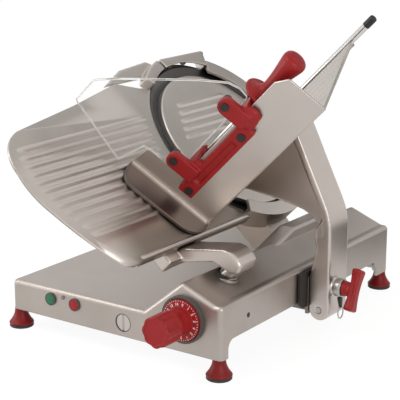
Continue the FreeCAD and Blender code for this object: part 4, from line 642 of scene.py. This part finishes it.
def joined(bm, loops):
    """Closed body through equal loops of points, one after another."""
    rings = [[bm.verts.new(point) for point in loop] for loop in loops]
    for low, high in zip(rings, rings[1:]):
        for k in range(len(low)):
            m = (k + 1) % len(low)
            bm.faces.new((low[k], low[m], high[m], high[k]))
    bm.faces.new(rings[0][::-1])
    bm.faces.new(rings[-1])


# A thin dark strip closes the gap behind the rim of the knife; its darkness is painted shade for that gap.
strip_inner, strip_outer, strip_back, strip_front = 168, 193, -14.0, -12.8
strip_start, strip_sweep, strip_steps = -34, 61, 24
section = [(strip_inner, strip_back), (strip_outer, strip_back), (strip_outer, strip_front),
           (strip_inner, strip_front)]
loops = []
for k in range(strip_steps + 1):
    angle = math.radians(strip_start + strip_sweep * k / strip_steps)
    loops.append([(-reach * math.cos(angle), reach * math.sin(angle), level) for reach, level in section])
bm = bmesh.new()
joined(bm, loops)
piece("knife_gap_shade_strip", bm, blade_place, ring_plastic, "base", "dark_plastic")

# Open grit, drawn 0.5 mm coarse so that it shows, makes the stones matt and speckled.
abrasive, tree, place = new_material("bonded abrasive")
grit = add(tree, "ShaderNodeTexVoronoi", {"Vector": place, "Scale": every(0.455)})
tone = add(tree, "ShaderNodeMix", {0: grit.outputs["Distance"], 6: srgb("#5b5651"), 7: srgb("#8d867e")},
           data_type="RGBA")
bump = add(tree, "ShaderNodeBump", {"Height": grit.outputs["Distance"], "Strength": 0.5, "Distance": 0.0004})
shader = add(tree, "ShaderNodeBsdfPrincipled", {"Base Color": tone.outputs[2], "Roughness": 0.9,
                                                "Normal": bump.outputs[0]})
finish_material(tree, shader.outputs[0])
coat(abrasive, "grinding_stone", "finishing_stone")

# GAUGE PLATE. A cast plate with twelve soft ribs sets the slice thickness. It is
# screwed to a cast arm whose steel post slides in the base.
# The plate is painted darker towards its lower edge and its front end: painted shade.
down = (slope.to_3x3() @ Vector((1, 0, 0))).normalized()
origin = machine.translation
gauge_slopes = ((down, down.dot(origin) - 0.185, down.dot(origin) - 0.110),
                ((0, 1, 0), origin.y - 0.385, origin.y - 0.300))
gauge_metal = burnished("gauge plate", 0.0022, "#85796f", *gauge_slopes)
gauge_relief = burnished("gauge plate relief", 0.0, "#85796f", *gauge_slopes)

# Each rib runs from 15 mm inside the plate's front edge to the arc round the knife.
rib_count, first_rib, rib_step, rib_margin = 12, -321, 16.3, 15.0
arc_y, arc_radius = blade_y - 2, 189
sheet, rows = flattened(cad_copy(slope, "gauge_plate"), 2, plate_level), []
for k in range(rib_count):
    side, front = first_rib + rib_step * k, 0.0
    for edge in sheet.edges:
        p, q = edge.verts[0].co, edge.verts[1].co
        if (p.x - side) * (q.x - side) < 0:
            front = min(front, p.y + (side - p.x) / (q.x - p.x) * (q.y - p.y))
    rows.append((side, front + rib_margin, arc_y - math.sqrt(arc_radius ** 2 - (side - blade_x) ** 2)))
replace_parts(piece("plain_gauge_plate", sheet, slope, gauge_metal, "gauge", "plate_alu"), "gauge_plate")
gauge_top = slope @ Matrix.Translation((0, 0, plate_level))
soft_ribs("gauge_ribs", rows, 14.0, 2.6, 20.0, gauge_top, gauge_relief, "gauge", "plate_alu")
soft_ribs("gauge_lip", [(-75, -330, 22)], 9.0, 1.6, 10.0, gauge_top, rib_metal, "gauge", "plate_alu")

# This casting is blasted finer, so it is paler and shinier than the base.
arm_metal = cast_metal("satin anodised arm casting", "#c4bab3", "#b4aaa3", 0.33)
bm = softened(cad_copy(slope, "gauge_support"), 1.8, 12)
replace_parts(piece("cast_gauge_support", bm, slope, arm_metal, "gauge", "cast_body"), "gauge_support")

# A turned collar holds the rubber seal round the post.
seal_low, seal_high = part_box("post_seal")
seal_size, seal_spot = (seal_high - seal_low) * 1000, machine.inverted() @ ((seal_low + seal_high) / 2)
seal_radius = min(seal_size.x, seal_size.y) / 2
collar_inner, collar_foot, collar_top = seal_radius - 2.5, -seal_size.z / 2 - 4, -1.0
bm = bmesh.new()
lathe(bm, [(collar_inner, collar_foot), (seal_radius + 0.9, collar_foot), (seal_radius + 1.1, -2.8),
           (seal_radius + 0.3, -1.6), (seal_radius - 1.0, collar_top), (collar_inner, collar_top),
           (collar_inner, collar_foot)], seal_spot)
# Its darker casting tone is painted shade.
piece("post_collar", bm, machine, dull_shaded_metal, "base", "steel_bright")

# CARRIAGE. A cast shoe rides on a chromed rod with brass bushes, and a guide bar keeps
# it level. Beside the foot of the arm a black plate is painted shade for the dark gap there.
# Chrome is bright and mirrors the room; its grinding, drawn 0.8 mm coarse, only blurs it a little.
chrome = grained("ground chromed rod", "#cbc9c6", 0.16, 0.833, 1.0, 0.05, 0.0002, metallic=1.0)
coat(chrome, "carriage_rod", "handle_rod", "pusher_rod")

# Oil-filled pores, drawn 0.6 mm coarse, speckle the brass.
brass = mottled("sintered brass", "#b08d4b", "#8a6c35", 0.4, 0.556, 1.0, metallic=1.0)
coat(brass, "carriage_bushes")

# Black plate between the base's wall and the arm's foot, its lower front corner rounded: painted shade for
# the gap.
gap_shade_left, gap_shade_right, gap_shade_front, gap_shade_back = 230.4, 235.4, -58, -4
gap_shade_low, gap_shade_high, gap_shade_corner = 57, 122, 14
outline = [(gap_shade_back, gap_shade_high), (gap_shade_front, gap_shade_high)]
for k in range(7):
    angle = k * math.pi / 12
    outline.append((gap_shade_front + gap_shade_corner * (1 - math.cos(angle)),
                    gap_shade_low + gap_shade_corner * (1 - math.sin(angle))))
outline.append((gap_shade_back, gap_shade_low))
bm = bmesh.new()
joined(bm, [[(x, y, z) for y, z in outline] for x in (gap_shade_left, gap_shade_right)])
piece("side_gap_shade_plate", bm, machine, black, "carriage", "dark_plastic")

# ARM. One curved casting carries the tray from the carriage; its outer rim flows
# over into the web. It tips outward on a pin through its foot.
bm = cad_copy(machine, "carriage_arm")
swell = [(246, 172), (245, 200), (254, 214), (264, 224), (272, 200), (268, 172)]
rim_front, rim_back = -29.0, -6.0
joined(bm, [[(x, y, z) for x, z in swell] for y in (rim_front, rim_back)])
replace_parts(piece("cast_carriage_arm", softened(bm, 2.0, 16), machine, arm_metal, "arm", "cast_body"),
            "carriage_arm")

# CLAMP. A red T-shaped knob, moulded round a steel ring, screws the arm fast. A small
# black link with a wire ring hangs below it.
knob_y, knob_z, knob_half, knob_turn = -12.0, 97.0, 38.0, math.radians(-26)
hub_end, bar_middle = 309, 318.3
knob_axis = machine @ Matrix.Translation((0, knob_y, knob_z))
knob_place = knob_axis @ Matrix.Rotation(knob_turn, 4, "X")
# Its bar is waisted: it swells from the middle towards both ends.
bm = cad_copy(knob_place, "lock_knob")
long_edges = [edge for edge in bm.edges if edge.calc_length() > 12]
bmesh.ops.subdivide_edges(bm, edges=long_edges, cuts=6, use_grid_fill=True)
for vert in bm.verts:
    if vert.co.x > hub_end:
        end = (vert.co.z / knob_half) ** 2
        vert.co.y *= 0.80 + 0.42 * end
        vert.co.x = bar_middle + (vert.co.x - bar_middle) * (0.92 + 0.25 * end)
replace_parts(piece("moulded_lock_knob", softened(bm, 0.9, 12), knob_place, grip_red, "clamp", "red_plastic"),
            "lock_knob")
ring_inner, ring_outer, ring_left, ring_right = 13.0, 16.6, 283.6, 296.8
bm = bmesh.new()
lathe(bm, [(ring_inner, ring_left), (ring_outer - 0.6, ring_left), (ring_outer, ring_left + 0.8),
           (ring_outer, ring_right - 1.0), (ring_outer - 0.6, ring_right), (ring_inner, ring_right),
           (ring_inner, ring_left)])
piece("clamp_ring", bm, knob_axis @ Matrix.Rotation(math.pi / 2, 4, "Y"), turned_steel, "clamp",
      "steel_bright")


def tube(bm, points, radius, normal, sides=8, inset=0.0):
    """Closed wire along a flat loop with the given normal, moved into the loop by the inset."""
    turn = sum((p.cross(q).dot(normal) for p, q in zip(points, points[1:] + points[:1])), 0.0)
    rings = []
    for before, here, after in zip(points[-1:] + points[:-1], points, points[1:] + points[:1]):
        out = (after - before).normalized().cross(normal)
        here = here - out * math.copysign(inset, turn)
        rings.append([bm.verts.new(here + radius * (math.cos(2 * math.pi * k / sides) * out
                                                    + math.sin(2 * math.pi * k / sides) * normal))
                      for k in range(sides)])
    for low, high in zip(rings, rings[1:] + rings[:1]):
        for k in range(sides):
            m = (k + 1) % sides
            bm.faces.new((low[k], low[m], high[m], high[k]))


link_x, link_top, link_tip = 290.0, 79.6, 58.0
ends = []
for level, half, front, back in ((link_tip, 2.0, -11.5, -5.0), (link_top, 3.5, -17.5, -6.5)):
    ends.append([(link_x - half, front, level), (link_x + half, front, level), (link_x + half, back, level),
                 (link_x - half, back, level)])
bm = bmesh.new()
joined(bm, ends)
bmesh.ops.bevel(bm, geom=bm.edges[:], offset=1.2, segments=3, affect="EDGES")
piece("clamp_link", bm, machine, black, "arm", "dark_plastic")
wire_y, wire_z, wire_steps, wire_radius = -8, 50, 48, 1.2
wire = []
for k in range(wire_steps):
    angle = 2 * math.pi * k / wire_steps
    wire.append(Vector((link_x, wire_y + 9.5 * math.cos(angle), wire_z + 11.5 * math.sin(angle))))
bm = bmesh.new()
tube(bm, wire, wire_radius, Vector((1, 0, 0)), 10)
piece("clamp_wire_ring", bm, machine, turned_steel, "arm", "steel_bright")

# TRAY. Wall and floor are cast plates joined in a corner; the floor has soft ribs so
# that food slides, and the wall folds out into a wide flange that shields the hand.
# The flange beyond the fold is painted darker: painted shade.
tray_corner, tray_turn = Matrix.Translation((-85, -130, plate_level)), math.radians(115)
tray_place = slope @ tray_corner @ Matrix.Rotation(tray_turn, 4, "Z")
outward = -(tray_place.to_3x3() @ Vector((1, 0, 0))).normalized()
fold = outward.dot(tray_place.translation)
wall_metal = burnished("folded wall plate", 0.0022, "#756a64", (outward, fold + 0.001, fold + 0.012))
coat(wall_metal, "tray_wall")


def rims(sheet, level, least=60.0):
    """Long loops of sharp edges of a sheet, in the plane of the given X."""
    near = {}
    for edge in sheet.edges:
        flat = all(abs(v.co.x - level) < 0.05 for v in edge.verts)
        if flat and len(edge.link_faces) == 2 and edge.calc_face_angle(0) > 1.0:
            for v, w in (edge.verts, reversed(edge.verts)):
                near.setdefault(v.index, []).append(w.index)
    sheet.verts.ensure_lookup_table()
    loops = []
    while near:
        here, before, loop = next(iter(near)), None, []
        while here in near:
            loop.append(sheet.verts[here].co.copy())
            ahead = [k for k in near.pop(here) if k != before and k in near]
            before, here = here, ahead[0] if ahead else None
        if len(loop) > 3 and max((p - loop[0]).length for p in loop) > least:
            loops.append(loop)
    return loops


# The wall's edge is rolled to a smooth bead.
sheet, bead = cad_copy(tray_place, "tray_wall"), bmesh.new()
bead_radius, bead_middle, bead_inset = 2.1, Vector((1.9, 0, 0)), 1.3
for loop in rims(sheet, 0.0):
    tube(bead, [p + bead_middle for p in loop], bead_radius, Vector((1, 0, 0)), 12, bead_inset)
sheet.free()
piece("wall_bead", bead, tray_place, rib_metal, "arm", "plate_alu", 60.0)

# The floor is brushed smooth, so no grain breaks up its long soft reflections.
floor_metal = cast_metal("brushed floor plate", "#c4bcb5", "#b5ada6", 0.36, depth=0.0)
floor_top = 5.0
bm = flattened(cad_copy(tray_place, "tray_floor"), 1, floor_top)
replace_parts(piece("plain_tray_floor", bm, tray_place, floor_metal, "arm", "plate_alu"), "tray_floor")
# Seven wide ribs, 34 mm apart.
rows = [(24 + 34 * k, -326, -20) for k in range(7)]
rib_place = tray_place @ Matrix.Translation((0, floor_top, 0)) @ Matrix.Rotation(-math.pi / 2, 4, "X")
soft_ribs("tray_floor_ribs", rows, 19.0, 1.5, 12.0, rib_place, floor_metal, "arm", "plate_alu")

# HANDLE. A red moulded bracket screwed to the tray wall holds a chromed rod, and a
# waisted grip sits on the end of the rod. Black caps cover its screws.
bm = cad_copy(tray_place, "handle_bracket")
groove_floor, deeper_floor = -10.0, -8.0
for vert in bm.verts:
    if abs(vert.co.x - groove_floor) < 0.3 and 60 < vert.co.y < 78 and 60 < vert.co.z < 180:
        vert.co.x = deeper_floor
# The boss round the rod's end is turned and then flattened to half its width.
boss_x, boss_y = -6.0, 81.0
boss = bmesh.new()
lathe(boss, [(0, 210), (14, 210), (18.5, 214), (19.0, 221), (17.6, 231), (14.5, 240), (11, 245.5), (6, 248.4),
             (0, 249)])
for vert in boss.verts:
    vert.co.x = boss_x + 0.5 * vert.co.x
    vert.co.y += boss_y
lump = bpy.data.meshes.new("boss")
bmesh.ops.recalc_face_normals(boss, faces=boss.faces)
boss.to_mesh(lump)
boss.free()
bm.from_mesh(lump)
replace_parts(piece("moulded_bracket", softened(bm, 1.2, 12), tray_place, grip_red, "arm", "red_plastic"),
            "handle_bracket")
coat(black, "screw_caps", "pusher_rod_cap", "guard_nuts")
rod_x, rod_y, handle_start, handle_end = 40, 84.7, 249, 347.4
grip = flowing([(34.4, 252.6), (33.0, 254.8), (26.0, 256.8), (18.5, 260.5), (13.6, 267.0), (12.6, 277.0),
                (14.6, 296.0), (17.8, 315.0), (20.6, 330.0), (21.2, 337.0), (19.4, 342.6), (14.6, 346.0),
                (7.0, handle_end - 0.2)])
bm = bmesh.new()
lathe(bm, [(0, handle_start), (32.5, handle_start), (34.0, handle_start + 1.4)] + grip + [(0, handle_end)],
      (rod_x, rod_y, 0))
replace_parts(piece("moulded_handle", bm, tray_place, grip_red, "arm", "red_plastic"), "carriage_handle")

# PUSHER. A cast plate with a red knob slides down its chromed rod onto the food.
coat(smooth_metal, "pusher")
coat(grip_red, "pusher_knob")

# GUARD. A clear polished sheet, screwed beside the handle, shields the hand from
# the knife. Fine scratches make it faintly milky, in broad clouds.
clear, tree, place = new_material("clear polished sheet")
haze = add(tree, "ShaderNodeTexNoise", {"Vector": place, "Scale": every(83.3), "Detail": 2.0})
soft = add(tree, "ShaderNodeMapRange", {0: haze.outputs[0], 3: 0.01, 4: 0.05})
shader = add(tree, "ShaderNodeBsdfPrincipled", {"Base Color": srgb("#ffffff"), "Transmission Weight": 1.0,
                                                "Roughness": soft.outputs[0], "IOR": 1.02})
milk = add(tree, "ShaderNodeBsdfDiffuse", {"Color": srgb("#e8e6e3")})
both = add(tree, "ShaderNodeMixShader", {0: 0.035, 1: shader.outputs[0], 2: milk.outputs[0]})
finish_material(tree, both.outputs[0])
coat(clear, "clear_guard")

# Light gathers in its cut edges; wires along them carry it as painted light, pale from the side and grey end
# on.
sheet_edge, tree, place = new_material("lit sheet edge")
facing = add(tree, "ShaderNodeLayerWeight", {"Blend": 0.4})
tone = add(tree, "ShaderNodeMix", {0: facing.outputs["Facing"], 6: srgb("#dedbd7"), 7: srgb("#7d7772")},
           data_type="RGBA")
shader = add(tree, "ShaderNodeBsdfPrincipled", {"Base Color": tone.outputs[2], "Roughness": 0.2})
finish_material(tree, shader.outputs[0])
guard_foot, guard_lean, guard_thickness, edge_radius = Matrix.Translation((-4, 137, 0)), 16, 5.0, 0.62
guard_place = tray_place @ guard_foot @ Matrix.Rotation(math.radians(guard_lean), 4, "Z")
sheet, wires = cad_copy(guard_place, "clear_guard"), bmesh.new()
for level, inward in ((0.0, 0.6), (guard_thickness, -0.6)):
    for loop in rims(sheet, level):
        tube(wires, [p + Vector((inward, 0, 0)) for p in loop], edge_radius, Vector((1, 0, 0)), 8, 0.5)
sheet.free()
piece("guard_rim", wires, guard_place, sheet_edge, "arm", "clear_sheet")

# STAGE. The machine stands on a white floor in soft studio light. The floor is paint
# that shows shadows, with a white glow that lights nothing else.
floor_half, floor_level = 6, -0.0005
floor_corners = [(-floor_half, -floor_half), (floor_half, -floor_half), (floor_half, floor_half),
                 (-floor_half, floor_half)]
floor_mesh = bpy.data.meshes.new("floor")
floor_mesh.from_pydata([(x, y, floor_level) for x, y in floor_corners], [], [(0, 1, 2, 3)])
floor = placed("floor", floor_mesh)


def seen_rays(tree):
    """1 for what is seen straight, through a clear piece or in a reflection, and 0 for what only lights."""
    rays = add(tree, "ShaderNodeLightPath").outputs
    seen = add(tree, "ShaderNodeMath", {0: rays["Is Camera Ray"], 1: rays["Is Transmission Ray"]},
               operation="MAXIMUM")
    return add(tree, "ShaderNodeMath", {0: seen.outputs[0], 1: rays["Is Glossy Ray"]}, operation="MAXIMUM")


pale_floor, tree, place = new_material("pale floor")
seen = seen_rays(tree)
share = add(tree, "ShaderNodeMath", {0: seen.outputs[0], 1: 0.86}, operation="MULTIPLY")
paint = add(tree, "ShaderNodeBsdfDiffuse", {"Color": srgb("#f2f1ef")})
glow = add(tree, "ShaderNodeEmission", {"Color": srgb("#ffffff"), "Strength": 1.06})
mixed = add(tree, "ShaderNodeMixShader", {0: share.outputs[0], 1: paint.outputs[0], 2: glow.outputs[0]})
finish_material(tree, mixed.outputs[0])
floor_mesh.materials.append(pale_floor)

# A dark screen behind the machine, seen only in its reflections, gives the metal its shadows.
screen_y, screen_foot = 1.1, 0.002
wide_sheet = [(-0.7, 0.45), (-0.7, 1.0), (-0.02, 1.0), (-0.02, 0.45)]
tall_sheet = [(0.4, 0.8), (0.18, 1.05), (0.1, 1.2), (0.2, 1.9), (0.52, 1.9), (0.52, 0.8)]
flat_sheet = [(0.34, 0.5), (0.9, 0.5), (0.9, 1.05), (0.34, 1.05)]
corners = [(x, screen_y, z) for x, z in wide_sheet + tall_sheet]
corners += [(x, y, screen_foot) for x, y in flat_sheet]
screen_mesh = bpy.data.meshes.new("screen")
screen_mesh.from_pydata(corners, [], [(0, 1, 2, 3), (4, 5, 6, 7, 8, 9), (10, 11, 12, 13)])
screen = placed("screen", screen_mesh)
screen.visible_camera = screen.visible_diffuse = screen.visible_shadow = screen.visible_transmission = False
screen_cloth, tree, place = new_material("dark screen cloth")
shader = add(tree, "ShaderNodeBsdfDiffuse", {"Color": srgb("#1c1413")})
finish_material(tree, shader.outputs[0])
screen_mesh.materials.append(screen_cloth)

# The room is plain white to the eye and lights the machine a little less strongly.
world = bpy.data.worlds.new("studio")
bpy.context.scene.world = world
world.use_nodes = True
tree = world.node_tree
tree.nodes.clear()
seen = seen_rays(tree)
room = add(tree, "ShaderNodeBackground", {"Color": srgb("#ffffff"), "Strength": 0.75})
plain = add(tree, "ShaderNodeBackground", {"Color": srgb("#ffffff"), "Strength": 1.0})
both = add(tree, "ShaderNodeMixShader", {0: seen.outputs[0], 1: room.outputs[0], 2: plain.outputs[0]})
add(tree, "ShaderNodeOutputWorld", {"Surface": both.outputs[0]})


def soft_lamp(name, place, aim, size, power):
    """Square lamp, turned from its place to its aim."""
    lamp = bpy.data.lights.new(name, "AREA")
    lamp.shape = "SQUARE"
    lamp.size = size
    lamp.energy = power
    holder = placed(name, lamp)
    holder.location = place
    holder.rotation_euler = (Vector(aim) - Vector(place)).to_track_quat("-Z", "Y").to_euler()


soft_lamp("key lamp", (-1.2, -1.6, 2.2), (0, 0, 0.25), 1.4, 26)
soft_lamp("right lamp", (2.0, -1.15, 0.95), (0, 0, 0.25), 1.0, 16)
soft_lamp("left lamp", (-2.2, -1.2, 0.5), (0, 0, 0.25), 0.9, 12)

# The camera stands before the right front corner and looks down a little.
lens = bpy.data.cameras.new("view")
lens.sensor_fit = "HORIZONTAL"
lens.sensor_width = 36.0
lens.lens = 114.62
viewer = placed("view", lens)
backwards = Vector((0.5527, -0.7928, 0.2568)).normalized()
viewer.location = (1.26777, -1.83375, 0.82416)
viewer.rotation_euler = backwards.to_track_quat("Z", "Y").to_euler()
bpy.context.scene.camera = viewer
bpy.context.scene.view_settings.view_transform = "Standard"
